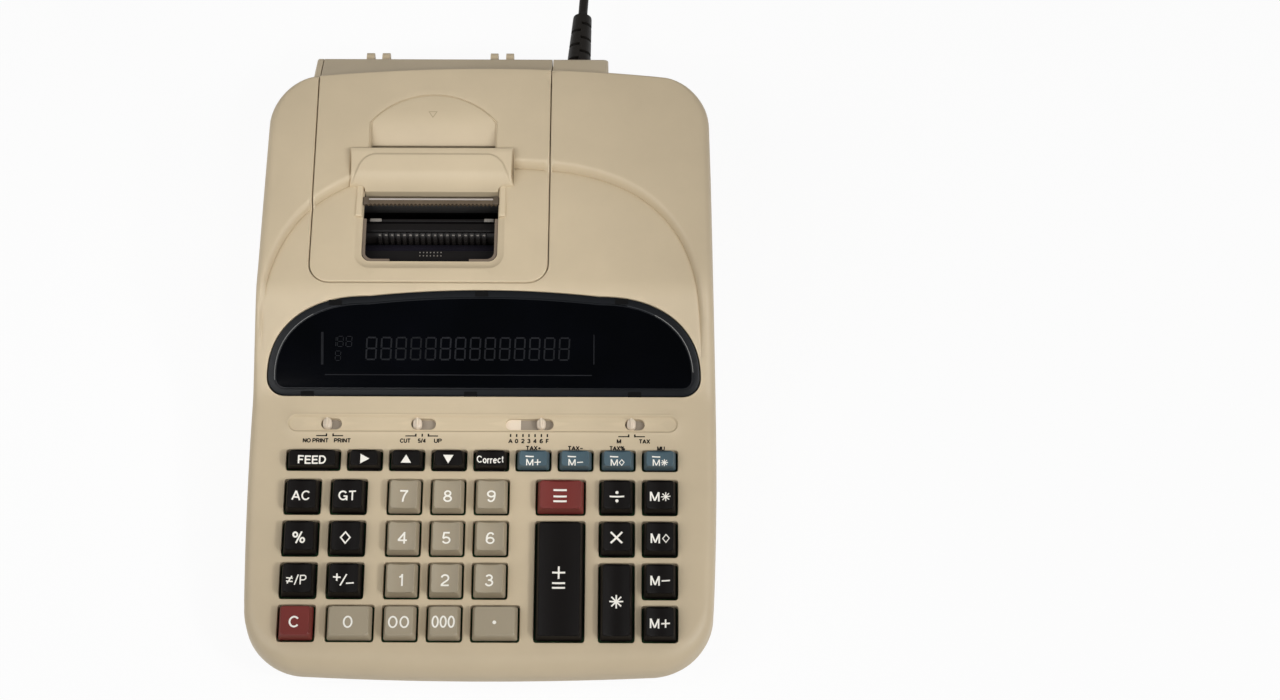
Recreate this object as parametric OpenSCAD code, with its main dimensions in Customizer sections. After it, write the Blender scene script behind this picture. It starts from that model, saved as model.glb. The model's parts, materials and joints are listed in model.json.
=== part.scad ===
// Desktop printing calculator: a sloping keyboard deck, a raised display lens and a built-in
// printer under a hinged cover. Millimetres, +Z up, front towards -Y, origin on the table under
// the middle of the machine.

/* [Keys] */
// Width of a digit key at its base
key_w = 16; // [14:0.1:18]
// Depth of a key at its base
key_d = 16.8; // [15:0.1:19]
// Gap between neighbouring digit keys
key_gap = 5; // [3:0.1:6.5]
// Gap between key rows
row_gap = 4.2; // [3:0.1:5.5]
// Width of the keys in the two left columns
left_key_w = 16.7; // [15:0.1:20]
// Gap between the two left columns
left_gap = 5.6; // [3:0.1:7]
// Gap between the left columns and the digits
left_group_gap = 10.7; // [8:0.05:14]
// Gap between the digits and the wide keys
right_group_gap = 13.9; // [11:0.05:18]
// Width of the two wide function keys
wide_key_w = 22.9; // [20:0.1:28]
// Gap between the wide keys and the memory columns
wide_gap = 7.7; // [3:0.1:10]
// Width of the keys in the two right columns
right_key_w = 16.1; // [14:0.1:18]
// Gap between the two right columns
right_gap = 4.6; // [3:0.1:6]
// Width of the single zero key
zero_key_w = 21.8; // [17:0.1:25]
// Width of the decimal point key
point_key_w = 22.1; // [18:0.1:24]
// Width of the paper feed key
feed_key_w = 25.3; // [20:0.1:30]
// Width of the other small function keys
function_key_w = 16.2; // [14:0.1:18]
// Depth of the small function keys
function_key_d = 9.6; // [8.5:0.1:13]
// Height of a key above the deck
key_h = 5.3; // [4:0.1:7]
// Slope of a key's sides, as the inset at its top
key_taper = 1.3; // [0.5:0.1:2]
// Travel of a key
key_travel = 3; // [2:0.1:3.4]
// Clearance round a key in its opening
key_clear = 0.5; // [0.3:0.05:0.9]

/* [Deck] */
// Height of the deck plane at the front edge
front_z = 27.6; // [26:0.1:34]
// Slope of the keyboard deck
deck_a = 6.5; // [4:0.1:9]
// Distance from the front edge to the first key row
front_margin = 15.2; // [13:0.1:20]
// Distance from the outer keys to the side edge at the top
side_margin = 17.5; // [14:0.1:24]
// Gap between the upper digit row and the small keys
function_gap = 5.55; // [3:0.05:8]
// Gap between the small keys and the slide switch strip
strip_gap = 10.5; // [9:0.1:16]
// Depth of the slide switch strip
strip_d = 8.3; // [7.5:0.1:11]
// Depth of the strip's recess
strip_recess = 0.8; // [0.4:0.1:1.2]
// Gap between the strip and the lens
lens_gap = 10.45; // [8:0.05:16]

/* [Slide switches] */
// Width of a slot for a slide knob
slot_w = 5.8; // [5:0.1:6.6]
// Width of a slide knob
knob_w = 4.4; // [3.5:0.1:5]
// Height of a slide knob above the strip's floor
knob_h = 3.2; // [2:0.1:5]

/* [Case] */
// Wall of the cases and the cover
wall = 2.5; // [2:0.1:3]
// Height of the joint between the two cases
split_z = 16; // [14:0.1:18]
// Draft of the side walls
draft = 2.5; // [1:0.1:4]
// Radius of the corners in plan
corner_r = 29; // [18:0.5:34]
// Radius of the roll along the front edge
front_roll = 9; // [6:0.1:10]
// Radius of the edge at the rear of the top
rear_roll = 4; // [3:0.1:6]
// Radius of the bow in the rear edge
rear_bow = 850; // [600:10:1500]
// Length of the top behind the display slope
top_l = 122.5; // [118:0.1:140]
// Slope of the display
slope_a = 27; // [22:0.1:32]
// Slope of the top inside the arch
pod_a = 3.7; // [2:0.1:4.5]
// Slope of the top outside the arch
shoulder_a = 4.9; // [4:0.1:6]
// Height of the arch's step at the top of the display slope
shoulder_rise = 1.5; // [0.8:0.1:2.5]
// Length of the arch behind the lens's widest line
arch_l = 104; // [95:0.5:110]
// Depth of the block behind the top
block_d = 15; // [13:0.1:20]
// Height of the block's top below the rear edge
block_drop = 12; // [10:0.1:16]
// Left end of the block
block_left = 90.2; // [89.6:0.1:96]
// Right end of the block
block_right = 59.7; // [56:0.1:70]
// Inset of the base at the bottom
base_inset = 6; // [3:0.1:9]

/* [Display] */
// Height of the lens along its slope
lens_h = 52.4; // [48:0.1:56]
// Distance from the lens's ends to the side edge
lens_side = 5.7; // [5:0.1:10]
// Thickness of the lens
lens_t = 2; // [1.5:0.1:2.2]
// Width of the display tube
tube_w = 138; // [120:1:150]
// Height of the display tube
tube_h = 26; // [22:0.5:29]
// Thickness of the display tube
tube_t = 7; // [5:0.1:8]

/* [Printer] */
// Width of the printer cover
cover_w = 117.5; // [112:0.5:119]
// Distance of the cover's middle to the left of the machine's middle
cover_left = 27.85; // [26:0.05:29]
// Distance from the display slope to the cover's front seam
cover_front = 3.4; // [3:0.1:8]
// Gap along the cover's seams
seam = 0.5; // [0.3:0.05:0.8]
// Radius of the cover's hinge barrel
barrel_r = 4.5; // [4:0.1:5]
// Diameter of the hinge pins
hinge_pin_d = 3; // [2.5:0.1:4]
// Width of the print window
window_w = 67.2; // [62:0.1:70]
// Length of the print window
window_l = 36; // [32:0.1:38]
// Distance from the cover's front to the window
window_front = 10.8; // [9:0.1:13]
// Width of the hood
hood_w = 82; // [78:0.5:88]
// Height of the hood's crest
hood_h = 6; // [4:0.1:9]
// Length of the hood
hood_l = 21; // [18:0.1:26]
// Width of the paper inlet
inlet_w = 63.5; // [60:0.1:68]
// Gap of the paper slot
slot_gap = 5; // [4.6:0.1:6]
// Depth of the scoop at the paper slot
scoop_h = 7; // [5:0.1:9]
// Length of the scoop
scoop_l = 33; // [28:0.1:36]
// Diameter of the type drum
drum_d = 14; // [12:0.1:16]
// Diameter of the paper feed roller
roller_d = 11; // [9:0.1:13]
// Diameter of the printer shafts
shaft_d = 4; // [3:0.1:5]

/* [Feet and cord] */
// Height of a rubber foot below the base
foot_h = 4; // [3:0.1:6]
// Diameter of a rubber foot
foot_d = 16; // [12:0.5:20]
// Diameter of the mains cord
cord_d = 4.8; // [4:0.1:5]
// Length of the strain relief
relief_l = 40; // [30:0.5:50]

/* [Hidden] */
$fn = 48;
eps = 0.01;
far = 400;
fit = 0.3;
running = 0.05;
beige = [0.76, 0.70, 0.59];
key_grey = [0.61, 0.56, 0.48];
key_black = [0.12, 0.10, 0.10];
key_red = [0.47, 0.22, 0.20];
key_blue = [0.31, 0.38, 0.42];

// Key columns from left to right, each at the middle of its key
field_w = 2 * left_key_w + left_gap + left_group_gap + 3 * key_w + 2 * key_gap
    + right_group_gap + wide_key_w + wide_gap + 2 * right_key_w + right_gap;
case_w = field_w + 2 * side_margin;
field_x = -field_w / 2;
col_a = field_x + left_key_w / 2;
col_b = col_a + left_key_w + left_gap;
col_7 = col_b + left_key_w / 2 + left_group_gap + key_w / 2;
col_8 = col_7 + key_w + key_gap;
col_9 = col_8 + key_w + key_gap;
col_wide = col_9 + key_w / 2 + right_group_gap + wide_key_w / 2;
col_d = col_wide + wide_key_w / 2 + wide_gap + right_key_w / 2;
col_m = col_d + right_key_w + right_gap;
zero_x = col_7 - key_w / 2 - key_gap - zero_key_w / 2;
point_x = col_9 - key_w / 2 + point_key_w / 2;
feed_x = field_x + feed_key_w / 2;
function feed_step(i) = field_x + feed_key_w + (i - 0.5) * (field_w - feed_key_w) / 8
    + (field_w - feed_key_w - 8 * function_key_w) / 16;

// Key rows along the deck, from the front edge
row_pitch = key_d + row_gap;
function row_s(r) = front_margin + key_d / 2 + (4 - r) * row_pitch;
function_s = row_s(1) + key_d / 2 + function_gap + function_key_d / 2;
strip_s = function_s + function_key_d / 2 + strip_gap + strip_d / 2;
deck_l = strip_s + strip_d / 2 + lens_gap;

// Each key: name, x, middle along the deck, width, depth, colour
function tall(rows) = rows * key_d + (rows - 1) * row_gap;
KEYS = [
    ["key_feed", feed_x, function_s, feed_key_w, function_key_d, key_black],
    ["key_replay", feed_step(1), function_s, function_key_w, function_key_d, key_black],
    ["key_step_up", feed_step(2), function_s, function_key_w, function_key_d, key_black],
    ["key_step_down", feed_step(3), function_s, function_key_w, function_key_d, key_black],
    ["key_correct", feed_step(4), function_s, function_key_w, function_key_d, key_black],
    ["key_store_plus", feed_step(5), function_s, function_key_w, function_key_d, key_blue],
    ["key_store_minus", feed_step(6), function_s, function_key_w, function_key_d, key_blue],
    ["key_store_subtotal", feed_step(7), function_s, function_key_w, function_key_d, key_blue],
    ["key_store_total", feed_step(8), function_s, function_key_w, function_key_d, key_blue],
    ["key_all_clear", col_a, row_s(1), left_key_w, key_d, key_black],
    ["key_grand_total", col_b, row_s(1), left_key_w, key_d, key_black],
    ["key_7", col_7, row_s(1), key_w, key_d, key_grey],
    ["key_8", col_8, row_s(1), key_w, key_d, key_grey],
    ["key_9", col_9, row_s(1), key_w, key_d, key_grey],
    ["key_minus_equals", col_wide, row_s(1), wide_key_w, key_d, key_red],
    ["key_divide", col_d, row_s(1), right_key_w, key_d, key_black],
    ["key_memory_total", col_m, row_s(1), right_key_w, key_d, key_black],
    ["key_percent", col_a, row_s(2), left_key_w, key_d, key_black],
    ["key_subtotal", col_b, row_s(2), left_key_w, key_d, key_black],
    ["key_4", col_7, row_s(2), key_w, key_d, key_grey],
    ["key_5", col_8, row_s(2), key_w, key_d, key_grey],
    ["key_6", col_9, row_s(2), key_w, key_d, key_grey],
    ["key_plus_equals", col_wide, row_s(3), wide_key_w, tall(3), key_black],
    ["key_multiply", col_d, row_s(2), right_key_w, key_d, key_black],
    ["key_memory_subtotal", col_m, row_s(2), right_key_w, key_d, key_black],
    ["key_number_print", col_a, row_s(3), left_key_w, key_d, key_black],
    ["key_sign", col_b, row_s(3), left_key_w, key_d, key_black],
    ["key_1", col_7, row_s(3), key_w, key_d, key_grey],
    ["key_2", col_8, row_s(3), key_w, key_d, key_grey],
    ["key_3", col_9, row_s(3), key_w, key_d, key_grey],
    ["key_total", col_d, row_s(3.5), right_key_w, tall(2), key_black],
    ["key_memory_minus", col_m, row_s(3), right_key_w, key_d, key_black],
    ["key_clear", col_a, row_s(4), left_key_w, key_d, key_red],
    ["key_0", zero_x, row_s(4), zero_key_w, key_d, key_grey],
    ["key_00", col_7, row_s(4), key_w, key_d, key_grey],
    ["key_000", col_8, row_s(4), key_w, key_d, key_grey],
    ["key_point", point_x, row_s(4), point_key_w, key_d, key_grey],
    ["key_memory_plus", col_m, row_s(4), right_key_w, key_d, key_black]
];

// Each slide knob: name, x at rest, travel to the left, travel to the right
KNOBS = [
    ["knob_print", -76, 0, 4],
    ["knob_rounding", -32, 0, 6],
    ["knob_decimal", 28.5, 14.5, 3],
    ["knob_tax", 72.5, 0, 3.5]
];

// Side view of the top surface, from the front edge to the rear
deck_end = [deck_l * cos(deck_a), front_z + deck_l * sin(deck_a)];
slope_end = deck_end + lens_h * [cos(slope_a), sin(slope_a)];
top_end = slope_end + top_l * [cos(shoulder_a), sin(shoulder_a)] + [0, shoulder_rise];
rear_y = top_end.x;
block_z = top_end.y - block_drop;
block_rear = rear_y + block_d;
ear_l = 10;
overall_l = block_rear + ear_l;
base_w = case_w + 2 * (top_end.y - split_z) * tan(draft);

function below(p, a, t) = p + t * [sin(a), -cos(a)];
function meet(p, a, q, b) =
    let (x = (q.y - p.y + p.x * tan(a) - q.x * tan(b)) / (tan(a) - tan(b)))
    [x, p.y + (x - p.x) * tan(a)];
function arc(c, r, a0, a1, n) = [for (i = [0:n])
    let (a = a0 + (a1 - a0) * i / n) c + r * [cos(a), sin(a)]];

// The top line inside the arch and outside it, lowered by a wall t
function pod_line_z(y, t = 0) = slope_end.y + (y - slope_end.x) * tan(pod_a) - t / cos(pod_a);
function shoulder_z(y, t = 0) = slope_end.y + shoulder_rise
    + (y - slope_end.x) * tan(shoulder_a) - t / cos(shoulder_a);
shoulder_slope = atan2(slope_end.y + shoulder_rise - deck_end.y, slope_end.x - deck_end.x);
shoulder_end = slope_end + [0, shoulder_rise];
front_c = [front_roll, front_z + front_roll * tan(deck_a) - front_roll / cos(deck_a)];
rear_c = [rear_y - rear_roll, shoulder_z(rear_y - rear_roll, rear_roll)];

function side_points(t, low) = concat(
    [[t, low]],
    arc(front_c, front_roll - t, 180, 90 + deck_a, 6),
    [meet(below(deck_end, deck_a, t), deck_a, below(deck_end, shoulder_slope, t), shoulder_slope)],
    [meet(below(shoulder_end, shoulder_slope, t), shoulder_slope,
          below(shoulder_end, shoulder_a, t), shoulder_a)],
    arc(rear_c, rear_roll - min(t, rear_roll - 0.5), 90 + shoulder_a, 0, 4),
    [[rear_y - t, low]]);

// Places in the deck's and the display's own planes
module place() { translate([0, -overall_l / 2, 0]) children(); }
module on_deck() { translate([0, 0, front_z]) rotate([deck_a, 0, 0]) children(); }
module on_slope() { translate([0, deck_end.x, deck_end.y]) rotate([slope_a, 0, 0]) children(); }
module side_prism(points, x0, x1) {
    translate([x0, 0, 0]) rotate([90, 0, 90]) linear_extrude(x1 - x0) polygon(points);
}

// Rounded rectangle with its front edge on y = 0
module round_rect(w, l, r) {
    polygon(concat(
        arc([w / 2 - r, r], r, -90, 0, 8), arc([w / 2 - r, l - r], r, 0, 90, 8),
        arc([r - w / 2, l - r], r, 90, 180, 8), arc([r - w / 2, r], r, 180, 270, 8)));
}
module plan_prism(t, low, high) {
    translate([0, 0, low]) linear_extrude(high - low) intersection() {
        translate([0, t]) round_rect(base_w - 2 * t, rear_y - 2 * t, corner_r - t);
        translate([0, rear_y - rear_bow]) circle(rear_bow - t, $fn = 200);
    }
}

// The arch in plan, a rounded outline that rises from the lens's widest line
arch_y = deck_end.x + 11.5;
lens_half = case_w / 2 - lens_side;
arch_half = lens_half - 1;
arch_power = 2.5;
function arch_points(t) = [for (i = [0:40]) let (c = cos(180 * i / 40), s = sin(180 * i / 40)) [
    sign(c) * (arch_half + t) * pow(abs(c), 2 / arch_power),
    arch_y + (arch_l + t) * pow(s, 2 / arch_power)]];
module arch_air(t) {
    intersection() {
        translate([0, 0, split_z]) linear_extrude(far) polygon(arch_points(t));
        side_prism([
            below(deck_end, slope_a, t),
            meet(below(slope_end, slope_a, t), slope_a, below(slope_end, pod_a, t), pod_a),
            [far, pod_line_z(far, t)], [far, far], [below(deck_end, slope_a, t).x, far]], -far, far);
    }
}

// The block behind the top, with a nose concentric with the cover's hinge
hinge_y = block_rear - barrel_r;
hinge_z = block_z - barrel_r;
module block_form(t, low) {
    side_prism(concat(
        [[rear_y - 12, low], [rear_y - 12, block_z - t]],
        arc([hinge_y, hinge_z], barrel_r - t, 90, 0, 6),
        [[block_rear - t, low]]), -block_left + t, block_right - t);
}

// The closed outer form of the top, shrunk by a wall t, down to a height low
module top_form(t, low) {
    difference() {
        union() {
            intersection() {
                side_prism(side_points(t, low), -far, far);
                plan_prism(t, low - 1, far);
                rotate([90, 0, 0]) translate([0, 0, -far]) linear_extrude(far) polygon([
                    [-base_w / 2 + t, low - 1], [base_w / 2 - t, low - 1], [base_w / 2 - t, split_z],
                    [case_w / 2 - t, top_end.y], [case_w / 2 - t - 20 * tan(draft), top_end.y + 20],
                    [t + 20 * tan(draft) - case_w / 2, top_end.y + 20],
                    [t - case_w / 2, top_end.y], [t - base_w / 2, split_z]]);
            }
            block_form(t, low);
        }
        arch_air(t);
    }
}

// The cover's outline in plan, grown by g on its front and sides
cover_x0 = -cover_left - cover_w / 2;
cover_x1 = -cover_left + cover_w / 2;
cover_y0 = slope_end.x + cover_front;
cover_corner = 10;
cover_low = hinge_z - barrel_r;
module cover_prism(g, low) {
    translate([-cover_left, cover_y0 - g, low]) linear_extrude(far)
        round_rect(cover_w + 2 * g, block_rear + cover_corner + 5 - cover_y0, cover_corner + g);
}

// Places inside the printer
printer_x = -cover_left;
window_y0 = cover_y0 + window_front;
window_y1 = window_y0 + window_l;
hood_y0 = window_y1 + 0.5;
hood_y1 = hood_y0 + hood_l;
crest_z = shoulder_z(hood_y1) + hood_h;
slot_y1 = hood_y1 + slot_gap;
scoop_floor_z = shoulder_z(slot_y1) - scoop_h;
frame_half = window_w / 2 + 7;
frame_t = 2.5;
drum_y = window_y0 + 26;
drum_z = pod_line_z(window_y0, wall) - drum_d / 2 - 8;
ink_d = drum_d - 1;
ink_y = drum_y - (drum_d + ink_d) / 2 - fit;
roller_y = drum_y + (drum_d + roller_d) / 2 + 4;
roller_z = drum_z + 4;

// Screw posts that join the two cases, and posts for the boards
front_post = [12, 30];
middle_post = [9, 15];
rear_post = [13, 40];
POST_PLACES = [front_post, [middle_post.x, deck_end.x + middle_post.y], [rear_post.x, rear_y - rear_post.y]];
POSTS = [for (side = [-1, 1], p = POST_PLACES) [side * (base_w / 2 - p.x), p.y]];
post_hole_l = 10;
board_hole_l = 6;
display_hole_l = 5;
post_d = 8;
screw_d = 3;
post_hole_d = screw_d + 0.2;
board_t = 1.6;
board_h = -13;
left_lane = col_7 - key_w / 2 - left_group_gap / 2;
right_lane = col_9 + key_w / 2 + right_group_gap / 2;
rear_lane_s = strip_s - strip_d / 2 - strip_gap / 2;
front_lane_s = 9;
front_lane_x = 80;
rear_lane_x = 90;
BOARD_POSTS = concat(
    [for (x = [-1, 0, 1]) [x * front_lane_x, front_lane_s]],
    [[left_lane, row_s(2)], [right_lane, row_s(2)]],
    [for (x = [-1, 0, 1]) [x * rear_lane_x, rear_lane_s]]);
board_post_d = 5.6;
base_z = foot_h;
floor_z = base_z + wall;
base_post_h = 6;
base_post_d = 7;
main_board_z = floor_z + base_post_h;

// Keys, in the deck's own plane
stem_d = 5;
stem_low = -8.5;
skirt_h = 1.2;
switch_w = 12;
switch_d = 9.4;
switch_top = -key_travel - skirt_h - 0.8;
dish_r = 60;
dish_d = 0.7;
front_taper = key_taper + 0.6;

module key_cap(w, d) {
    intersection() {
        translate([0, d / 2, 0]) rotate([90, 0, 0]) linear_extrude(d) polygon([
            [-w / 2, -skirt_h], [w / 2, -skirt_h], [w / 2, 0], [w / 2 - key_taper, key_h],
            [key_taper - w / 2, key_h], [-w / 2, 0]]);
        side_prism([
            [-d / 2, -skirt_h], [d / 2, -skirt_h], [d / 2, 0], [d / 2 - key_taper, key_h],
            [front_taper - d / 2, key_h], [-d / 2, 0]], -w / 2, w / 2);
    }
}
module key(k) {
    w = k[3];
    d = k[4];
    color(k[5]) place() on_deck() translate([k[1], k[2], 0]) {
        difference() {
            key_cap(w, d);
            translate([0, 0, key_h - dish_d + dish_r]) rotate([90, 0, 0])
                cylinder(r = dish_r, h = 2 * d, center = true, $fn = 160);
        }
        translate([0, 0, stem_low]) cylinder(d = stem_d, h = -stem_low);
    }
}

// Slide knobs, on the strip's floor
knob_foot = -7;
knob_stem = [2, 3];
knob_ridge = [1, 0.6];
module knob(k) {
    color([0.83, 0.77, 0.69]) place() on_deck() translate([k[1], strip_s, -strip_recess]) {
        translate([0, 0, -wall]) cylinder(d = knob_w, h = wall + knob_h);
        translate([-knob_ridge.x / 2, -slot_w / 2 + fit, 0])
            cube([knob_ridge.x, slot_w - 2 * fit, knob_h + knob_ridge.y]);
        translate([-knob_stem.x / 2, -knob_stem.y / 2, knob_foot])
            cube([knob_stem.x, knob_stem.y, -knob_foot]);
    }
}

// Cases
slot_end = 0.6;
module slot_cut(k) {
    reach = knob_w / 2 + slot_end;
    translate([k[1] - k[2] - reach, strip_s - slot_w / 2, -wall - 2])
        cube([k[2] + k[3] + 2 * reach, slot_w, wall + 4]);
}

// Lens outline in the display's plane: a flat foot, rounded ends and a long shallow top
lens_foot = 9;
lens_round = 50;
lens_bow = 3;
lens_top = lens_h - lens_bow - lens_foot;
function lens_points(g) = concat(
    arc([lens_half - lens_foot, lens_foot], lens_foot + g, -90, 0, 6),
    [for (i = [1:11]) let (a = 90 * i / 12) [
        lens_half - lens_round + (lens_round + g) * cos(a),
        lens_foot + (lens_top + g) * sin(a)]],
    [[0, lens_h + g]],
    [for (i = [11:-1:1]) let (a = 90 * i / 12) [
        lens_round - lens_half - (lens_round + g) * cos(a),
        lens_foot + (lens_top + g) * sin(a)]],
    arc([lens_foot - lens_half, lens_foot], lens_foot + g, 180, 270, 6));
module lens_plate(g, low, high) {
    translate([0, 0, low]) linear_extrude(high - low) polygon(lens_points(g));
}
tube_v = 23;
tube_x = -12.7;
tube_gap = 4;
display_board_h = -lens_t - tube_gap - tube_t;
display_post = 6;
DISPLAY_POSTS = [for (side = [-1, 1]) [tube_x + side * (tube_w / 2 + display_post), tube_v]];
seat_w = 1.5;
cheek_w = 3;
cheek_l = 4;
ledge_in = 12;
ledge_l = 10;
ledge_h = 4;

module upper_case() {
    color(beige) place() difference() {
        union() {
            difference() {
                top_form(0, split_z);
                top_form(wall, split_z - 5);
            }
            // Lens seat, ledge under the cover's front, cheeks for the cover's hinge
            intersection() {
                on_slope() lens_plate(seat_w, -lens_t - wall, 0);
                top_form(wall / 2, split_z);
            }
            translate([cover_x0 + ledge_in, cover_y0 - ledge_l / 2, pod_line_z(cover_y0, wall) - fit - ledge_h])
                cube([cover_w - 2 * ledge_in, ledge_l, ledge_h]);
            for (x = [-block_left, cover_x1 + seam]) intersection() {
                block_form(0, split_z);
                translate([x, hinge_y - barrel_r - cheek_l, split_z]) cube([cheek_w, far, far]);
            }
            // Posts for the case screws and the two boards
            intersection() {
                top_form(0, split_z);
                union() {
                    for (p = POSTS) translate([p.x, p.y, split_z]) cylinder(d = post_d, h = far);
                    on_deck() for (p = BOARD_POSTS) translate([p.x, p.y, board_h])
                        cylinder(d = board_post_d, h = -board_h);
                    on_slope() for (p = DISPLAY_POSTS) translate([p.x, p.y, display_board_h])
                        cylinder(d = board_post_d, h = -display_board_h);
                }
            }
            rear_ears();
        }
        for (p = POSTS) translate([p.x, p.y, split_z - eps]) cylinder(d = post_hole_d, h = post_hole_l);
        on_deck() {
            for (k = KEYS) translate([k[1], k[2], 0])
                cube([k[3] + 2 * key_clear, k[4] + 2 * key_clear, 4 * wall], center = true);
            translate([-field_w / 2, strip_s - strip_d / 2, -strip_recess]) cube([field_w, strip_d, wall]);
            for (k = KNOBS) slot_cut(k);
            for (p = BOARD_POSTS) translate([p.x, p.y, board_h - eps])
                cylinder(d = post_hole_d, h = board_hole_l);
        }
        on_slope() {
            lens_plate(fit, -lens_t, 10);
            translate([tube_x, tube_v, 0]) cube([tube_w, tube_h, 2 * (lens_t + wall + 1)], center = true);
            for (p = DISPLAY_POSTS) translate([p.x, p.y, display_board_h - eps])
                cylinder(d = post_hole_d, h = display_hole_l);
        }
        difference() {
            cover_prism(seam, cover_low - seam);
            translate([cover_x0 + ledge_in - 1, cover_y0 - ledge_l / 2 - 1, split_z])
                cube([cover_w - 2 * ledge_in + 2, ledge_l + 2, pod_line_z(cover_y0, wall) - fit - split_z]);
            translate([cover_x0 - wall, rear_y, -eps]) cube([cover_w + 2 * wall, far, cover_low - seam]);
        }
        translate([-block_left - 1, hinge_y, hinge_z]) rotate([0, 90, 0])
            cylinder(d = hinge_pin_d + 2 * running, h = cover_x1 + block_left + 5);
        translate([relief_x, block_rear - wall - eps, relief_z]) rotate([-90, 0, 0])
            cylinder(d = relief_neck_d, h = wall + 1);
    }
}

// Ears for a paper roll holder, in two pairs behind the block
ear_w = 3.9;
ear_h = 9;
ear_z = block_z - 18;
ear_hole_d = 4;
ear_gap = 4.2;
ear_span = 64.4;
module rear_ears() {
    for (pair = [-1, 1], side = [-1, 1])
        translate([printer_x + pair * ear_span / 2 + side * (ear_w + ear_gap) / 2 - ear_w / 2, 0, 0])
            difference() {
                translate([0, block_rear - wall / 2, ear_z]) cube([ear_w, ear_l + wall / 2, ear_h]);
                translate([-1, block_rear + ear_l / 2 + 0.5, ear_z + ear_h / 2]) rotate([0, 90, 0])
                    cylinder(d = ear_hole_d, h = ear_w + 2);
            }
}

module base_form(t, low, high) {
    intersection() {
        plan_prism(t, low, high);
        side_prism([
            [base_inset + t, low], [t, low + base_inset], [t, high], [rear_y - t, high],
            [rear_y - t, low + base_inset], [rear_y - base_inset - t, low]], -far, far);
        rotate([90, 0, 0]) translate([0, 0, -far]) linear_extrude(far) polygon([
            [base_inset + t - base_w / 2, low], [base_w / 2 - base_inset - t, low],
            [base_w / 2 - t, low + base_inset], [base_w / 2 - t, high],
            [t - base_w / 2, high], [t - base_w / 2, low + base_inset]]);
    }
}
foot_x = 84;
foot_front = 32;
foot_rear = 45;
foot_boss = 2;
FEET = [for (x = [-foot_x, foot_x], y = [foot_front, rear_y - foot_rear]) [x, y]];
foot_seat = 1;
transformer = [50, 44, 40];
transformer_at = [44, rear_y - 62, floor_z + foot_seat];
board_rect = [[-96, deck_end.x + 20], [100, rear_y - 72]];
base_post_in = 6;
BASE_POSTS = [for (x = [0, 1], y = [0, 1]) [
    board_rect[x].x + (1 - 2 * x) * base_post_in, board_rect[y].y + (1 - 2 * y) * base_post_in]];
frame_y0 = ink_y - ink_d / 2 - 5;
frame_y1 = roller_y + roller_d / 2 + 6;
frame_top = pod_line_z(frame_y0, wall) - 2;
frame_low = main_board_z + board_t + 6;
frame_post_in = 8;
FRAME_POSTS = [for (x = [-1, 1], y = [frame_y0 + frame_post_in, frame_y1 - frame_post_in]) [
    printer_x + x * (frame_half - frame_post_in), y]];
frame_post_d = 8;
screw_grip = 4;
shelf_l = 14;

module lower_case() {
    color(beige) place() difference() {
        union() {
            difference() {
                base_form(0, base_z, split_z);
                base_form(wall, floor_z, split_z + 5);
            }
            translate([-block_left, rear_y - shelf_l, split_z - wall])
                cube([block_left + block_right, block_d + shelf_l, wall]);
            intersection() {
                base_form(0, base_z, split_z);
                for (p = POSTS) translate([p.x, p.y, base_z]) cylinder(d = post_d, h = far);
            }
            for (p = BASE_POSTS) translate([p.x, p.y, floor_z - 1])
                cylinder(d = base_post_d, h = main_board_z - floor_z + 1);
            for (p = FRAME_POSTS) translate([p.x, p.y, floor_z - 1])
                cylinder(d = frame_post_d, h = frame_low - floor_z + 1);
            for (p = FEET) translate([p.x, p.y, base_z])
                cylinder(d = foot_d + 2 * foot_boss, h = wall + foot_seat);
        }
        for (p = POSTS) translate([p.x, p.y, 0]) {
            cylinder(d = post_hole_d, h = far);
            cylinder(d = screw_head_d + 2 * fit, h = split_z - screw_grip);
        }
        for (p = FEET) translate([p.x, p.y, base_z - 1])
            cylinder(d = foot_d + 2 * fit, h = 1 + foot_seat);
        for (p = concat(BASE_POSTS, FRAME_POSTS)) translate([p.x, p.y, floor_z])
            cylinder(d = post_hole_d, h = far);
    }
}

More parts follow.
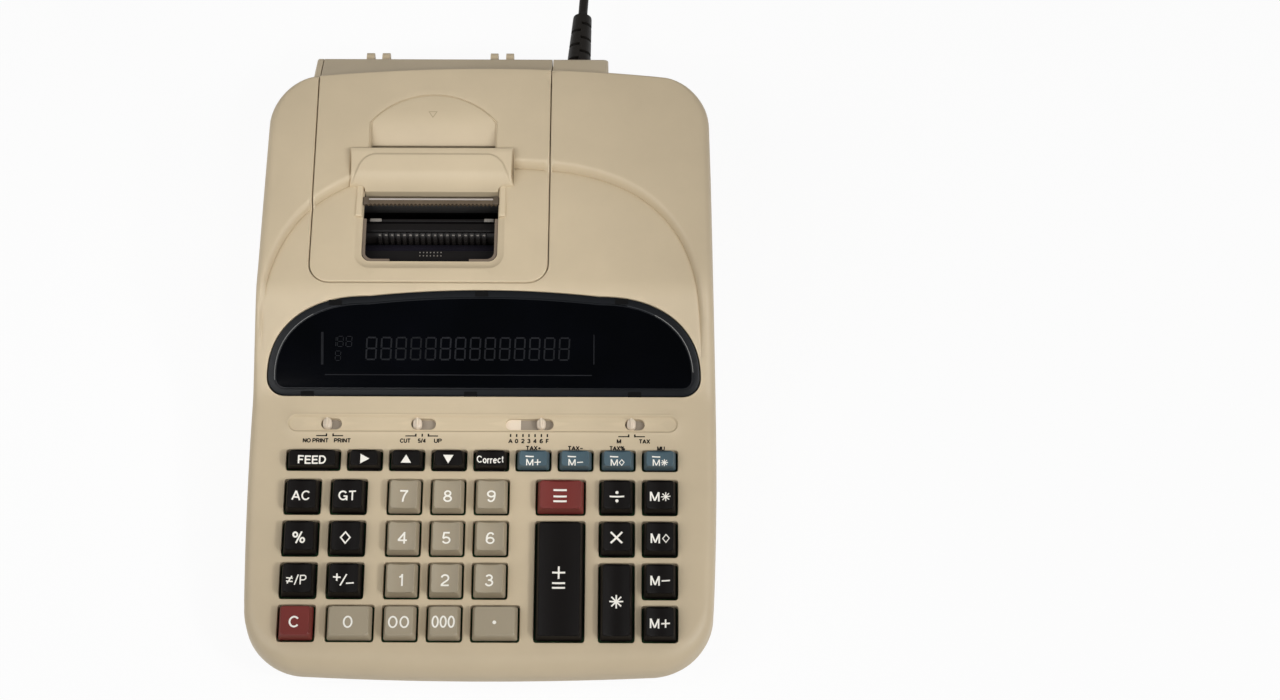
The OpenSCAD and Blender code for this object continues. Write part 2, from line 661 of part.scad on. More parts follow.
// Printer cover with its hood, window, paper inlet and hinge barrel
scoop_rise = 15.5;
hood_flat = 5;
hood_lip = 1;
module scoop_plan(g) {
    half = inlet_w / 2 + g;
    r = (half * half + scoop_rise * scoop_rise) / (2 * scoop_rise);
    translate([printer_x, scoop_end]) intersection() {
        translate([-half, hood_y1 - scoop_end - g]) square([2 * half, scoop_l + 2 * g]);
        translate([0, -r + g]) circle(r, $fn = 96);
    }
}
scoop_end = slot_y1 + scoop_l - slot_gap;
scoop_lip = 0.3;
slot_in = 0.5;
bar_clear = 0.1;
module printer_cover() {
    color(beige) place() {
        difference() {
            union() {
                intersection() {
                    difference() {
                        top_form(0, split_z);
                        top_form(wall, split_z - 5);
                    }
                    cover_prism(0, cover_low);
                    translate([-far, 0, hinge_z]) cube([2 * far, hinge_y - 1, far]);
                }
                translate([cover_x0, hinge_y, hinge_z]) rotate([0, 90, 0]) cylinder(r = barrel_r, h = cover_w);
                // Hood over the window's rear edge
                side_prism([
                    [hood_y0, pod_line_z(hood_y0, wall / 2)], [hood_y0, pod_line_z(hood_y0) + hood_lip],
                    [hood_y1 - hood_flat, crest_z], [hood_y1 + 1, crest_z],
                    [hood_y1 + 1, scoop_floor_z - wall]],
                    printer_x - hood_w / 2, printer_x + hood_w / 2);
                // Floor of the scoop behind the paper slot
                intersection() {
                    linear_extrude(far) scoop_plan(wall);
                    side_prism([
                        [slot_y1 - 1, scoop_floor_z - wall],
                        [scoop_end + wall, shoulder_z(scoop_end, 2 * wall)],
                        [scoop_end + wall, shoulder_z(scoop_end, wall / 2)],
                        [slot_y1 - 1, shoulder_z(slot_y1, wall / 2)]],
                        -far, far);
                }
            }
            intersection() {
                linear_extrude(far) scoop_plan(0);
                side_prism([
                    [hood_y1, scoop_floor_z], [slot_y1, scoop_floor_z],
                    [scoop_end + 1, shoulder_z(scoop_end) - scoop_lip], [scoop_end + 1, far],
                    [hood_y1, far]], -far, far);
            }
            translate([printer_x - inlet_w / 2 + slot_in, hood_y1 + eps, split_z])
                cube([inlet_w - 2 * slot_in, slot_gap, far]);
            translate([printer_x - window_w / 2, window_y0, split_z]) cube([window_w, window_l, far]);
            // Seat for the tear bar in the window's side walls
            translate([printer_x - window_w / 2 - bar_tab, bar_y, bar_z - bar_t])
                cube([window_w + 2 * bar_tab, bar_l + bar_clear, far]);
        }
        for (side = [0, 1]) translate([side ? cover_x1 - 1 : cover_x0 - pin_out, hinge_y, hinge_z])
            rotate([0, 90, 0]) cylinder(d = hinge_pin_d, h = pin_out + 1);
    }
}
pin_out = seam + 2;
bar_l = 4.5;
bar_t = 1.6;
bar_tab = 1.5;
bar_teeth = 33;
bar_y = window_y1 - bar_l - seam / 2;
bar_z = pod_line_z(bar_y);

module tear_bar() {
    pitch = window_w / bar_teeth;
    color([0.45, 0.42, 0.36, 0.8]) place() translate([printer_x - window_w / 2, bar_y, bar_z - bar_t])
        linear_extrude(bar_t) polygon(concat(
            [[-bar_tab + seam / 2, bar_l], [-bar_tab + seam / 2, 1], [0, 1]],
            [for (i = [0:bar_teeth - 1], s = [0, 1]) [(i + s / 2 + 0.25) * pitch, s ? 1 : 0.2]],
            [[window_w, 1], [window_w + bar_tab - seam / 2, 1], [window_w + bar_tab - seam / 2, bar_l]]));
}

// Display
module display_lens() {
    color([0.02, 0.02, 0.03]) place() on_slope() lens_plate(0, -lens_t, 0);
}
module display_tube() {
    color([0.12, 0.15, 0.15]) place() on_slope()
        translate([tube_x - tube_w / 2 + 1, tube_v - tube_h / 2 + 1, display_board_h])
            cube([tube_w - 2, tube_h - 2, tube_t]);
}

// Boards, transformer and switches
key_board_out = 4;
key_board_half = field_w / 2 + key_board_out;
key_board_s = 5;
key_board_cut = 18;
display_board = 10;
display_board_d = 32;
module board_holes(places, d, low) {
    for (p = places) translate([p.x, p.y, low - board_t - 1]) cylinder(d = d, h = board_t + 2);
}
module circuit_boards() {
    color([0.25, 0.38, 0.25]) place() {
        on_deck() difference() {
            translate([0, key_board_s, board_h - board_t]) linear_extrude(board_t) polygon([
                [-key_board_half, key_board_cut], [key_board_cut - key_board_half, 0],
                [key_board_half - key_board_cut, 0], [key_board_half, key_board_cut],
                [key_board_half, strip_s + 1], [-key_board_half, strip_s + 1]]);
            board_holes(BOARD_POSTS, post_hole_d, board_h);
        }
        on_slope() difference() {
            translate([tube_x - tube_w / 2 - display_board, tube_v - display_board_d / 2,
                       display_board_h - board_t])
                cube([tube_w + 2 * display_board, display_board_d, board_t]);
            board_holes(DISPLAY_POSTS, post_hole_d, display_board_h);
        }
        difference() {
            translate([board_rect[0].x, board_rect[0].y, main_board_z])
                cube([board_rect[1].x - board_rect[0].x, board_rect[1].y - board_rect[0].y, board_t]);
            board_holes(BASE_POSTS, post_hole_d, main_board_z + board_t);
            board_holes(FRAME_POSTS, frame_post_d + 2, main_board_z + board_t);
        }
        translate(transformer_at) cube(transformer);
    }
}
slide_body = [6, 9];
slide_top = -wall - strip_recess - 1;
module key_switches() {
    color([0.15, 0.15, 0.16]) place() on_deck() {
        for (k = KEYS) translate([k[1], k[2], board_h]) difference() {
            translate([-switch_w / 2, -switch_d / 2, 0]) cube([switch_w, switch_d, switch_top - board_h]);
            translate([0, 0, 1]) cylinder(d = stem_d + 0.5, h = far);
        }
        for (k = KNOBS) translate([k[1], strip_s, board_h]) difference() {
            translate([-k[2] - slide_body.x, -slide_body.y / 2, 0])
                cube([k[2] + k[3] + 2 * slide_body.x, slide_body.y, slide_top - board_h]);
            translate([-k[2] - knob_stem.x / 2 - 0.5, -knob_stem.y / 2 - fit, 2.5])
                cube([k[2] + k[3] + knob_stem.x + 1, knob_stem.y + 2 * fit, far]);
        }
    }
}

// Printer
shaft_out = 2;
module printer_frame() {
    color([0.6, 0.6, 0.6]) place() difference() {
        union() {
            for (x = [-frame_half - frame_t, frame_half]) translate([printer_x + x, frame_y0, frame_low])
                cube([frame_t, frame_y1 - frame_y0, frame_top - frame_low]);
            translate([printer_x - frame_half - eps, frame_y0, frame_low])
                cube([2 * (frame_half + eps), frame_y1 - frame_y0, frame_t]);
            translate([printer_x - frame_half - eps, frame_y1 - frame_t, frame_low])
                cube([2 * (frame_half + eps), frame_t, roller_z - frame_low]);
        }
        for (p = [[drum_y, drum_z], [roller_y, roller_z], [ink_y, drum_z]])
            translate([printer_x - 2 * frame_half, p.x, p.y]) rotate([0, 90, 0])
                cylinder(d = shaft_d + 2 * running, h = 4 * frame_half);
        for (p = FRAME_POSTS) translate([p.x, p.y, 0]) cylinder(d = post_hole_d, h = far);
    }
}
module shaft_piece(y, z, d, half) {
    place() translate([printer_x, y, z]) rotate([0, 90, 0]) {
        translate([0, 0, -half]) cylinder(d = d, h = 2 * half);
        cylinder(d = shaft_d, h = 2 * (frame_half + frame_t + shaft_out), center = true);
    }
}
wheels = 18;
wheel_in = 6;
module type_drum() {
    pitch = (window_w - 2 * wheel_in) / wheels;
    color([0.2, 0.2, 0.2]) {
        shaft_piece(drum_y, drum_z, drum_d - 3, frame_half - 2);
        place() translate([printer_x - window_w / 2 + wheel_in, drum_y, drum_z]) rotate([0, 90, 0])
            for (i = [0:wheels - 1]) translate([0, 0, (i + 0.2) * pitch]) cylinder(d = drum_d, h = 0.6 * pitch);
    }
}
module feed_roller() {
    color([0.1, 0.1, 0.1]) shaft_piece(roller_y, roller_z, roller_d, frame_half - 4);
}
module ink_roller() {
    color([0.08, 0.08, 0.12]) shaft_piece(ink_y, drum_z, ink_d, frame_half - 3);
}

// Screws and feet
screw_head_d = 5.5;
screw_head_h = 2;
module screw(l) {
    cylinder(d = screw_head_d, h = screw_head_h);
    cylinder(d = screw_d, h = screw_head_h + l);
}
module screws() {
    color([0.7, 0.7, 0.72]) place() {
        for (p = POSTS) translate([p.x, p.y, split_z - screw_grip - screw_head_h])
            screw(screw_grip + post_hole_l - 2);
        on_deck() for (p = BOARD_POSTS) translate([p.x, p.y, board_h - board_t - screw_head_h])
            screw(board_t + board_hole_l - 1);
        on_slope() for (p = DISPLAY_POSTS) translate([p.x, p.y, display_board_h - board_t - screw_head_h])
            screw(board_t + display_hole_l - 1);
        for (p = BASE_POSTS) translate([p.x, p.y, main_board_z + board_t + screw_head_h])
            mirror([0, 0, 1]) screw(board_t + base_post_h - 1.5);
        for (p = FRAME_POSTS) translate([p.x, p.y, frame_low + frame_t + screw_head_h])
            mirror([0, 0, 1]) screw(frame_t + 6);
    }
}
module feet() {
    color([0.1, 0.1, 0.1]) place() for (p = FEET) translate([p.x, p.y, 0])
        cylinder(d = foot_d, h = foot_h + foot_seat);
}

// Mains cord: strain relief, free stretch, tied coil and plug
relief_x = 43.6;
relief_z = 48;
relief_turn = 3;
relief_neck_d = 8;
relief_base_d = 11.5;
relief_tip_d = 7;
relief_collar = 3;
relief_out = relief_base_d / 2 * sin(relief_turn) + eps;
relief_slots = 5;
relief_core_d = 8;
module strain_relief() {
    slot_step = (relief_l - relief_collar) / (relief_slots + 0.7);
    color([0.17, 0.15, 0.13]) place() translate([relief_x, block_rear, relief_z]) {
        translate([0, relief_collar, 0]) rotate([90, 0, 0])
            cylinder(d = relief_neck_d - 0.1, h = relief_collar + wall + 1.5);
        rotate([-90, 0, -relief_turn]) difference() {
            rotate_extrude() polygon([[0, relief_out], [relief_base_d / 2, relief_out],
                [relief_base_d / 2, relief_collar], [relief_tip_d / 2, relief_l], [0, relief_l]]);
            for (i = [0:relief_slots - 1], turn = [0, 180]) rotate([0, 0, 90 * (i % 2) + turn])
                translate([relief_core_d / 2, -relief_base_d, relief_collar + (i + 0.6) * slot_step])
                    cube([relief_base_d, 2 * relief_base_d, slot_step / 3]);
        }
    }
}

// Route of the free stretch, from the strain relief's tip to the coil
CORD_ROUTE = [
    [45.7, 196, 48], [46.2, 205, 48], [46.6, 212, 47], [47, 220, 43], [47.4, 227, 37],
    [47.8, 232.5, 29], [48.2, 237, 20], [48.6, 242, 12], [49, 249, 6], [49.5, 258, 3],
    [50, 266, 2.5], [50, 273, 2.5], [50, 280, 2.5]];
coil_at = [16, 285, 2.5];
coil_r = 34;
coil_turns = 9.25;
coil_layers = 4;
coil_pitch = 5.4;
coil_lift = 5.4;
layer_turns = coil_turns / coil_layers;
TAIL = [
    [8, 319, 18.7], [-2, 319, 18], [-14, 319, 15.5], [-26, 319, 11.5], [-37, 319, 8.3],
    [-45, 319, 7.2], [-50, 319, 7]];

// Radius and height after a number of turns: in and out again, with a climb at each reversal
function coil_in(t) = let (u = t / layer_turns, k = floor(u)) (k % 2 == 0) ? u - k : 1 - (u - k);
function step_up(x) = x <= -0.25 ? 0 : x >= 0.25 ? 1 : (1 - cos(360 * (x + 0.25))) / 2;
function coil_level(t) = step_up(t - layer_turns) + step_up(t - 2 * layer_turns)
    + step_up(t - 3 * layer_turns);
function coil_point(t) = let (r = coil_r - coil_pitch * layer_turns * coil_in(t))
    coil_at + [r * cos(360 * t), r * sin(360 * t), coil_lift * coil_level(t)];
rings = 24;
coil_path = concat([[50, 280, 2.5]], [for (i = [0:rings * coil_turns]) coil_point(i / rings)], TAIL);
coil_gaps = [for (i = [0:3:rings * coil_turns], j = [i + rings / 2:rings * coil_turns])
    norm(coil_point(i / rings) - coil_point(j / rings)) - cord_d];
echo(coil_least_gap = min(coil_gaps));

function unit(v) = v / norm(v);
function along(path, i) = unit(path[min(i + 1, len(path) - 1)] - path[max(i - 1, 0)]);
module tube(path, d, sides) {
    n = len(path);
    points = [for (i = [0:n - 1], j = [0:sides - 1])
        let (t = along(path, i), s = unit(cross(t, [0, 0, 1])), u = cross(s, t))
        let (a = 360 * (j + 0.5) / sides)
        path[i] + d / 2 * (cos(a) * s + sin(a) * u)];
    walls = [for (i = [0:n - 2], j = [0:sides - 1], half = [0, 1])
        let (k = (j + 1) % sides, p = i * sides)
        half == 0 ? [p + j, p + sides + j, p + k] : [p + k, p + sides + j, p + sides + k]];
    caps = [for (j = [1:sides - 2], end = [0, 1])
        end == 0 ? [0, j, j + 1] : [(n - 1) * sides, (n - 1) * sides + j + 1, (n - 1) * sides + j]];
    polyhedron(points, concat(walls, caps));
}
module cord() {
    color([0.15, 0.14, 0.12]) tube(CORD_ROUTE, cord_d, 8);
}
module cord_coil() {
    color([0.15, 0.14, 0.12]) tube(coil_path, cord_d, 6);
}
plug_neck = [24, 14];
plug_head = [12, 26];
plug_h = 13;
pin_d = 4;
pin_l = 19;
pin_gap = 19;
module plug() {
    color([0.15, 0.14, 0.12]) translate(TAIL[len(TAIL) - 1]) {
        translate([-plug_neck.x, -plug_neck.y / 2, -plug_h / 2]) cube([plug_neck.x, plug_neck.y, plug_h]);
        translate([-plug_neck.x - plug_head.x, -plug_head.y / 2, -plug_h / 2])
            cube([plug_head.x + eps, plug_head.y, plug_h]);
        for (s = [-1, 1]) translate([-plug_neck.x - plug_head.x - pin_l, s * pin_gap / 2, 0])
            rotate([0, 90, 0]) cylinder(d = pin_d, h = pin_l + 1);
    }
}

for (k = KEYS) key(k);
for (k = KNOBS) knob(k);
upper_case();
lower_case();
printer_cover();
tear_bar();
display_lens();
display_tube();
circuit_boards();
key_switches();
printer_frame();
type_drum();
feed_roller();
ink_roller();
screws();
feet();
strain_relief();
cord();
cord_coil();
plug();
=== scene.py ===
"""Desktop printing calculator: the looks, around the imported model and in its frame."""

import json
import math

import bmesh
import bpy
import numpy as np
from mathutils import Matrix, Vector
from mathutils.geometry import delaunay_2d_cdt
from mathutils.kdtree import KDTree


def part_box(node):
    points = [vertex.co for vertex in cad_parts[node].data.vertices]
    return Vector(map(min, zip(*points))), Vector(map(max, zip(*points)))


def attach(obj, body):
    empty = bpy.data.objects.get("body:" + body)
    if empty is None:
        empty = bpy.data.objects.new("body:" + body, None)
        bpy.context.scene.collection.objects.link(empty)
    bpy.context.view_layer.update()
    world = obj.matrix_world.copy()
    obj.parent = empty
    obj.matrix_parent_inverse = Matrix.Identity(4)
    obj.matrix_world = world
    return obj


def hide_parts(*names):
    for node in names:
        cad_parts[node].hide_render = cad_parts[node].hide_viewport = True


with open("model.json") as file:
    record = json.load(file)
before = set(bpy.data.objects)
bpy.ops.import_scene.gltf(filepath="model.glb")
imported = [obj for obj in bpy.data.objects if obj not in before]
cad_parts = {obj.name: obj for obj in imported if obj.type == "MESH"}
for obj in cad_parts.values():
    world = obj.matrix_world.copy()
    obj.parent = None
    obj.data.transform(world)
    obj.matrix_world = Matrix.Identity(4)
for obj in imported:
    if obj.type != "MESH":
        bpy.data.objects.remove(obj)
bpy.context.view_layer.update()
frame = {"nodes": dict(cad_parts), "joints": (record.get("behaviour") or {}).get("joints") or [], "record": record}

# Sizes in millimetres. Places are x to the right, y from the front edge to the rear, z up.
MM = 0.001


def box_mm(node):
    """Lowest and highest corner of a node, in millimetres of the shared frame."""
    lo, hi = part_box(node)
    return np.array(lo) / MM, np.array(hi) / MM


FRONT = box_mm("upper_case")[0][1]
WALL = 2.5
SEAM = 0.5
DECK_A = math.radians(6.5)
DECK_Z = 27.6
SLOPE_A = math.radians(27)
POD_A = math.radians(3.7)
SHOULDER_A = math.radians(4.9)
SHOULDER_RISE = 1.5
LENS_H = 52.4
DECK_L = 139.4
DECK_END = np.array([DECK_L * math.cos(DECK_A), DECK_Z + DECK_L * math.sin(DECK_A)])
SLOPE_END = DECK_END + LENS_H * np.array([math.cos(SLOPE_A), math.sin(SLOPE_A)])
DRAFT = math.radians(2.5)
SPLIT_Z = box_mm("upper_case")[0][2]
HALF_W = box_mm("upper_case")[1][0]
REAR_BOW = 850
REAR_EDGE_R = 1.6
REAR_Y = 307.245
LENS_HALF = 106.3
LENS_LOW = 1.0
LENS_POWER = 2.25
ARCH_HALF = LENS_HALF + 1.7
ARCH_Y = DECK_END[0] + 11.5
ARCH_L = 102.5
ARCH_POWER = 2.85
ARCH_X = -1.5
ARCH_BAND = 3.3
ARCH_REACH = (-45, 60)
PRINTER_X = -27.85
COVER_HALF = 58.75
COVER_Y = SLOPE_END[0] + 3.4
COVER_R = 10
BLOCK_Z = 67.133
BLOCK_REAR = REAR_Y + 15
BLOCK_X = (-90.2, 59.7)
BARREL_R = 4.5
WINDOW_HALF = 33.6
WINDOW_R = 4.5
WINDOW_Y = (COVER_Y + 12.0, COVER_Y + 55.0)
HOOD_HALF = 41
HOOD_Y = (COVER_Y + 50.5, COVER_Y + 70.9)
SLOT_GAP = 6.4
SCOOP_HALF = 31.75
SCOOP_END = HOOD_Y[1] + 31.6
SCOOP_RISE = 15.5
STRIP_S = 124.3
STRIP_HALF = 95.1
STRIP_D = 8.3

KEYS = [n for n in frame["nodes"] if n.startswith("key_") and n != "key_switches"]
KNOBS = [n for n in frame["nodes"] if n.startswith("knob_")]


def stack(*axes):
    """Points from their coordinates, of which some may be single numbers."""
    return np.stack(np.broadcast_arrays(*axes), -1)


def unit(vectors):
    """Vectors scaled to a length of one."""
    return vectors / np.maximum(np.linalg.norm(vectors, axis=1), 1e-9)[:, None]


def left_of(vectors):
    """Level vectors turned to their left."""
    return stack(-vectors[:, 1], vectors[:, 0])


def deck_point(x, s, h):
    """A point given in the deck's plane: across, up the slope and out of it."""
    ca, sa = math.cos(DECK_A), math.sin(DECK_A)
    return stack(x, s * ca - h * sa, DECK_Z + s * sa + h * ca)


def slope_point(x, v, n):
    """A point given in the display's plane."""
    ca, sa = math.cos(SLOPE_A), math.sin(SLOPE_A)
    return stack(x, DECK_END[0] + v * ca - n * sa, DECK_END[1] + v * sa + n * ca)


def deck_box(node):
    """A node's extent in the deck's own plane."""
    co = np.array([v.co for v in frame["nodes"][node].data.vertices]) / MM
    y, z = co[:, 1] - FRONT, co[:, 2] - DECK_Z
    ca, sa = math.cos(DECK_A), math.sin(DECK_A)
    local = stack(co[:, 0], y * ca + z * sa, z * ca - y * sa)
    return local.min(0), local.max(0)


# Materials

def srgb(*values):
    """Linear colour from 0 to 255 display values."""
    shares = [v / 255 for v in values]
    return tuple(c / 12.92 if c <= 0.04045 else ((c + 0.055) / 1.055) ** 2.4 for c in shares)


def shade(colour, k):
    return tuple(min(1.0, c * k) for c in colour) + (1.0,)


def new_material(name):
    mat = bpy.data.materials.new(name)
    mat.use_nodes = True
    tree = mat.node_tree
    return mat, tree, tree.nodes["Principled BSDF"]


def link(tree, a, a_name, b, b_name):
    tree.links.new(a.outputs[a_name], b.inputs[b_name])


def add_node(tree, kind, values=()):
    """A shader node, with the values of some of its inputs."""
    node = tree.nodes.new("ShaderNode" + kind)
    for name, value in values:
        node.inputs[name].default_value = value
    return node


def noise(tree, scale, detail=2.0, rough=0.5):
    """Noise over object coordinates, in cycles per metre."""
    coords = add_node(tree, "TexCoord")
    tex = add_node(tree, "TexNoise", [("Scale", scale), ("Detail", detail), ("Roughness", rough)])
    link(tree, coords, "Object", tex, "Vector")
    return tex


def ramp(tree, source, output, *stops):
    """A colour ramp between two stops, each a place and a colour, fed by a node's output."""
    node = add_node(tree, "ValToRGB")
    for element, (place, colour) in zip(node.color_ramp.elements, stops):
        element.position = place
        element.color = colour
    link(tree, source, output, node, "Fac")
    return node


def clouds(tree, bsdf, scale, detail, rough, low, high):
    """Cloudy base colour between two colours."""
    tint = ramp(tree, noise(tree, scale, detail, rough), "Fac", low, high)
    link(tree, tint, "Color", bsdf, "Base Color")
    return tint


def spread_roughness(tree, bsdf, source, low, high):
    """Roughness between two values, from a noise."""
    spread = add_node(tree, "MapRange", [("To Min", low), ("To Max", high)])
    link(tree, source, "Fac", spread, "Value")
    link(tree, spread, "Result", bsdf, "Roughness")


ROUGH_SPREAD = 0.07
GRAIN_DEPTH = 0.0002
# Painted highlight on convex edges: how much brighter than the plastic's colour it gets.
HIGHLIGHT_LIFT = 1.5


def plastic(name, colour, rough=0.45, vary=0.05, grain=2600, bump=0.06, edge_highlight=0.0, spec=0.5):
    """Moulded plastic: cloudy colour, a fine spark texture and a painted highlight that lightens its convex edges.
    """
    mat, tree, bsdf = new_material(name)
    tint = clouds(tree, bsdf, 38, 4, 0.6, (0.3, shade(colour, 1 - vary)), (0.7, shade(colour, 1 + vary)))
    # Painted highlight: convex edges, found by pointiness, are mixed towards a brighter copy of the colour.
    if edge_highlight:
        geometry = add_node(tree, "NewGeometry")
        edges = ramp(tree, geometry, "Pointiness", (0.52, (0, 0, 0, 1)), (0.6, (edge_highlight, edge_highlight, edge_highlight, 1)))
        mix = add_node(tree, "MixRGB", [("Color2", shade(colour, HIGHLIGHT_LIFT))])
        link(tree, edges, "Color", mix, "Fac")
        link(tree, tint, "Color", mix, "Color1")
        link(tree, mix, "Color", bsdf, "Base Color")
    spark = noise(tree, grain, 2, 0.5)
    spread_roughness(tree, bsdf, spark, rough - ROUGH_SPREAD, rough + ROUGH_SPREAD)
    height = add_node(tree, "Bump", [("Strength", bump), ("Distance", GRAIN_DEPTH)])
    link(tree, spark, "Fac", height, "Height")
    link(tree, height, "Normal", bsdf, "Normal")
    bsdf.inputs["Specular IOR Level"].default_value = spec
    return mat


def metal(name, colour, rough=0.35):
    """Rolled steel with faint streaks."""
    mat, tree, bsdf = new_material(name)
    clouds(tree, bsdf, 420, 3, 0.6, (0.3, shade(colour, 0.85)), (0.7, shade(colour, 1.1)))
    bsdf.inputs["Metallic"].default_value = 1.0
    bsdf.inputs["Roughness"].default_value = rough
    return mat


def lens_material():
    """Smoked acrylic, nearly black, with a hard polish and a few hairline scuffs."""
    mat, tree, bsdf = new_material("smoked_lens")
    clouds(tree, bsdf, 25, 3, 0.5, (0.35, shade(srgb(2, 3, 5), 1)), (0.7, shade(srgb(4, 5, 9), 1)))
    spread_roughness(tree, bsdf, noise(tree, 900, 5, 0.7), 0.04, 0.14)
    bsdf.inputs["Specular IOR Level"].default_value = 0.06
    return mat


def translucent(name, colour, rough=0.25):
    """Thin tinted acrylic of the tear bar."""
    mat, tree, bsdf = new_material(name)
    clouds(tree, bsdf, 160, 2, 0.5, (0.3, shade(colour, 0.9)), (0.7, shade(colour, 1.1)))
    bsdf.inputs["Roughness"].default_value = rough
    bsdf.inputs["Alpha"].default_value = 0.82
    return mat


# The seventh value given to plastic() is the strength of its painted edge highlight.
M_CASE = plastic("case_plastic", srgb(197, 180, 151), 0.5, 0.03, 2400, 0.10, 0.25)
# The scoop's mark: the case colour painted darker, standing in for the shade on its embossed edges.
M_MARK_SHADE = plastic("mark_painted_shade", srgb(168, 152, 124), 0.5, 0.04, 2400, 0.02)
M_PRINT = plastic("printed_ink", srgb(22, 16, 12), 0.6, 0.08, 3000, 0.02, 0.0, 0.2)
M_GREY = plastic("key_grey_plastic", srgb(158, 146, 124), 0.42, 0.03, 2200, 0.06, 0.3)
M_BLACK = plastic("key_black_plastic", srgb(17, 14, 13), 0.45, 0.08, 2200, 0.06, 0.5, 0.14)
M_RED = plastic("key_red_plastic", srgb(116, 48, 43), 0.42, 0.04, 2200, 0.06, 0.3, 0.3)
M_BLUE = plastic("key_blue_plastic", srgb(74, 94, 103), 0.42, 0.04, 2200, 0.06, 0.3, 0.3)
M_WHITE = plastic("legend_white", srgb(240, 236, 226), 0.5, 0.03, 2600, 0.02)
M_KNOB = plastic("knob_cream", srgb(216, 200, 180), 0.4, 0.03, 2400, 0.05, 0.3)
# Slot plates: a plate lies in each slot, and its grey is the case colour painted darker as the shade down in the
# slots.
M_SLOT_SHADE = plastic("slot_plate_painted_shade", srgb(150, 138, 123), 0.5, 0.06, 2400, 0.05)
M_LENS = lens_material()
M_RIM = plastic("lens_rim", srgb(10, 13, 17), 0.35, 0.1, 1500, 0.02, 0.0, 0.2)
# Painted highlights of the lens's upper bevel: a bright and a dim grey that stand in for reflections on the black
# acrylic.
M_BEVEL_GLINT = plastic("lens_bevel_painted_highlight", srgb(150, 150, 148), 0.3, 0.1, 1500, 0.0)
M_BEVEL_DIM_GLINT = plastic("lens_bevel_painted_dim_highlight", srgb(62, 64, 68), 0.3, 0.1, 1500, 0.0)
M_TAB = plastic("lens_tab", srgb(4, 4, 4), 0.6, 0.1, 1500, 0.02, 0.0, 0.1)
M_SEGMENT = plastic("display_segment", srgb(27, 28, 31), 0.5, 0.35, 1500, 0.0, 0.0, 0.05)
M_TUBE = plastic("display_glass", srgb(30, 38, 38), 0.2, 0.1, 1500, 0.0)
M_BOARD = plastic("board_green", srgb(46, 86, 52), 0.45, 0.12, 900, 0.05)
M_SWITCH = plastic("switch_black", srgb(34, 34, 36), 0.5, 0.08, 1800, 0.05)
M_FRAME = plastic("printer_black", srgb(20, 18, 18), 0.5, 0.12, 1600, 0.06, 0.0, 0.2)
M_LIGHT = plastic("printer_grey", srgb(132, 127, 120), 0.5, 0.08, 1800, 0.04)
M_BROWN = plastic("printer_brown", srgb(88, 76, 62), 0.5, 0.08, 1800, 0.05)
M_RAIL = plastic("window_rail", srgb(112, 98, 84), 0.5, 0.06, 1800, 0.03)
M_STRIP = plastic("polished_strip", srgb(178, 170, 162), 0.3, 0.05, 1800, 0.02)
M_SCREW = metal("zinc_screw", srgb(190, 188, 180), 0.3)
M_DRUM = plastic("drum_black", srgb(26, 23, 22), 0.4, 0.1, 1800, 0.06, 0.0, 0.25)
M_TYPE = metal("type_face", srgb(96, 92, 88), 0.4)
M_ROLLER = plastic("roller_rubber", srgb(28, 26, 25), 0.75, 0.12, 1600, 0.15)
M_INK = plastic("ink_foam", srgb(22, 20, 28), 0.85, 0.2, 1300, 0.35, 0.0, 0.1)
M_FOOT = plastic("foot_rubber", srgb(36, 34, 32), 0.8, 0.1, 1500, 0.15)
M_CORD = plastic("cord_vinyl", srgb(32, 29, 26), 0.5, 0.1, 1500, 0.08, 0.0, 0.25)
M_BAR = translucent("tear_bar_acrylic", srgb(104, 90, 74))
M_PIN = metal("plated_pin", srgb(196, 186, 160), 0.25)


# Mesh building

class Build:
    """Points in millimetres of the machine's own place, and faces with a material number."""

    def __init__(self):
        self.points = []
        self.faces = []
        self.numbers = []

    def add(self, points):
        start = len(self.points)
        self.points.extend(tuple(float(c) for c in p) for p in points)
        return list(range(start, len(self.points)))

    def face(self, ring, number=0):
        self.faces.append(tuple(ring))
        self.numbers.append(number)

    def bridge(self, a, b, number=0, closed=True):
        """Faces between two runs of points of one length."""
        n = len(a)
        for i in range(n if closed else n - 1):
            j = (i + 1) % n
            self.face((a[i], a[j], b[j], b[i]), number)

    def loft(self, rings, number=0):
        """Closed rings of one length, bridged in turn, with flat ends."""
        ids = [self.add(r) for r in rings]
        for a, b in zip(ids, ids[1:]):
            self.bridge(a, b, number)
        self.face(ids[0][::-1], number)
        self.face(ids[-1], number)

    def make(self, name, materials, body, angle=32, fix=True):
        """The object, riding on a body, with edges sharper than an angle kept sharp."""
        mesh = bpy.data.meshes.new(name)
        world = [(x * MM, (y + FRONT) * MM, z * MM) for x, y, z in self.points]
        mesh.from_pydata(world, [], self.faces)
        for m in materials:
            mesh.materials.append(m)
        mesh.polygons.foreach_set("material_index", self.numbers)
        work = bmesh.new()
        work.from_mesh(mesh)
        bmesh.ops.remove_doubles(work, verts=work.verts, dist=1e-7)
        if fix:
            bmesh.ops.recalc_face_normals(work, faces=work.faces)
        work.to_mesh(mesh)
        work.free()
        mesh.shade_smooth()
        mesh.set_sharp_from_angle(angle=math.radians(angle))
        obj = bpy.data.objects.new(name, mesh)
        bpy.context.scene.collection.objects.link(obj)
        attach(obj, body)
        return obj


def arc(cx, cy, r, a0, a1, n):
    """Points on an arc, angles in degrees."""
    a = np.radians(np.linspace(a0, a1, n + 1))
    return stack(cx + r * np.cos(a), cy + r * np.sin(a))


def round_rect(x0, y0, x1, y1, r, n=4):
    """Outline of a rounded rectangle, anticlockwise from the lower right corner."""
    return np.concatenate([
        arc(x1 - r, y0 + r, r, -90, 0, n), arc(x1 - r, y1 - r, r, 0, 90, n),
        arc(x0 + r, y1 - r, r, 90, 180, n), arc(x0 + r, y0 + r, r, 180, 270, n)])


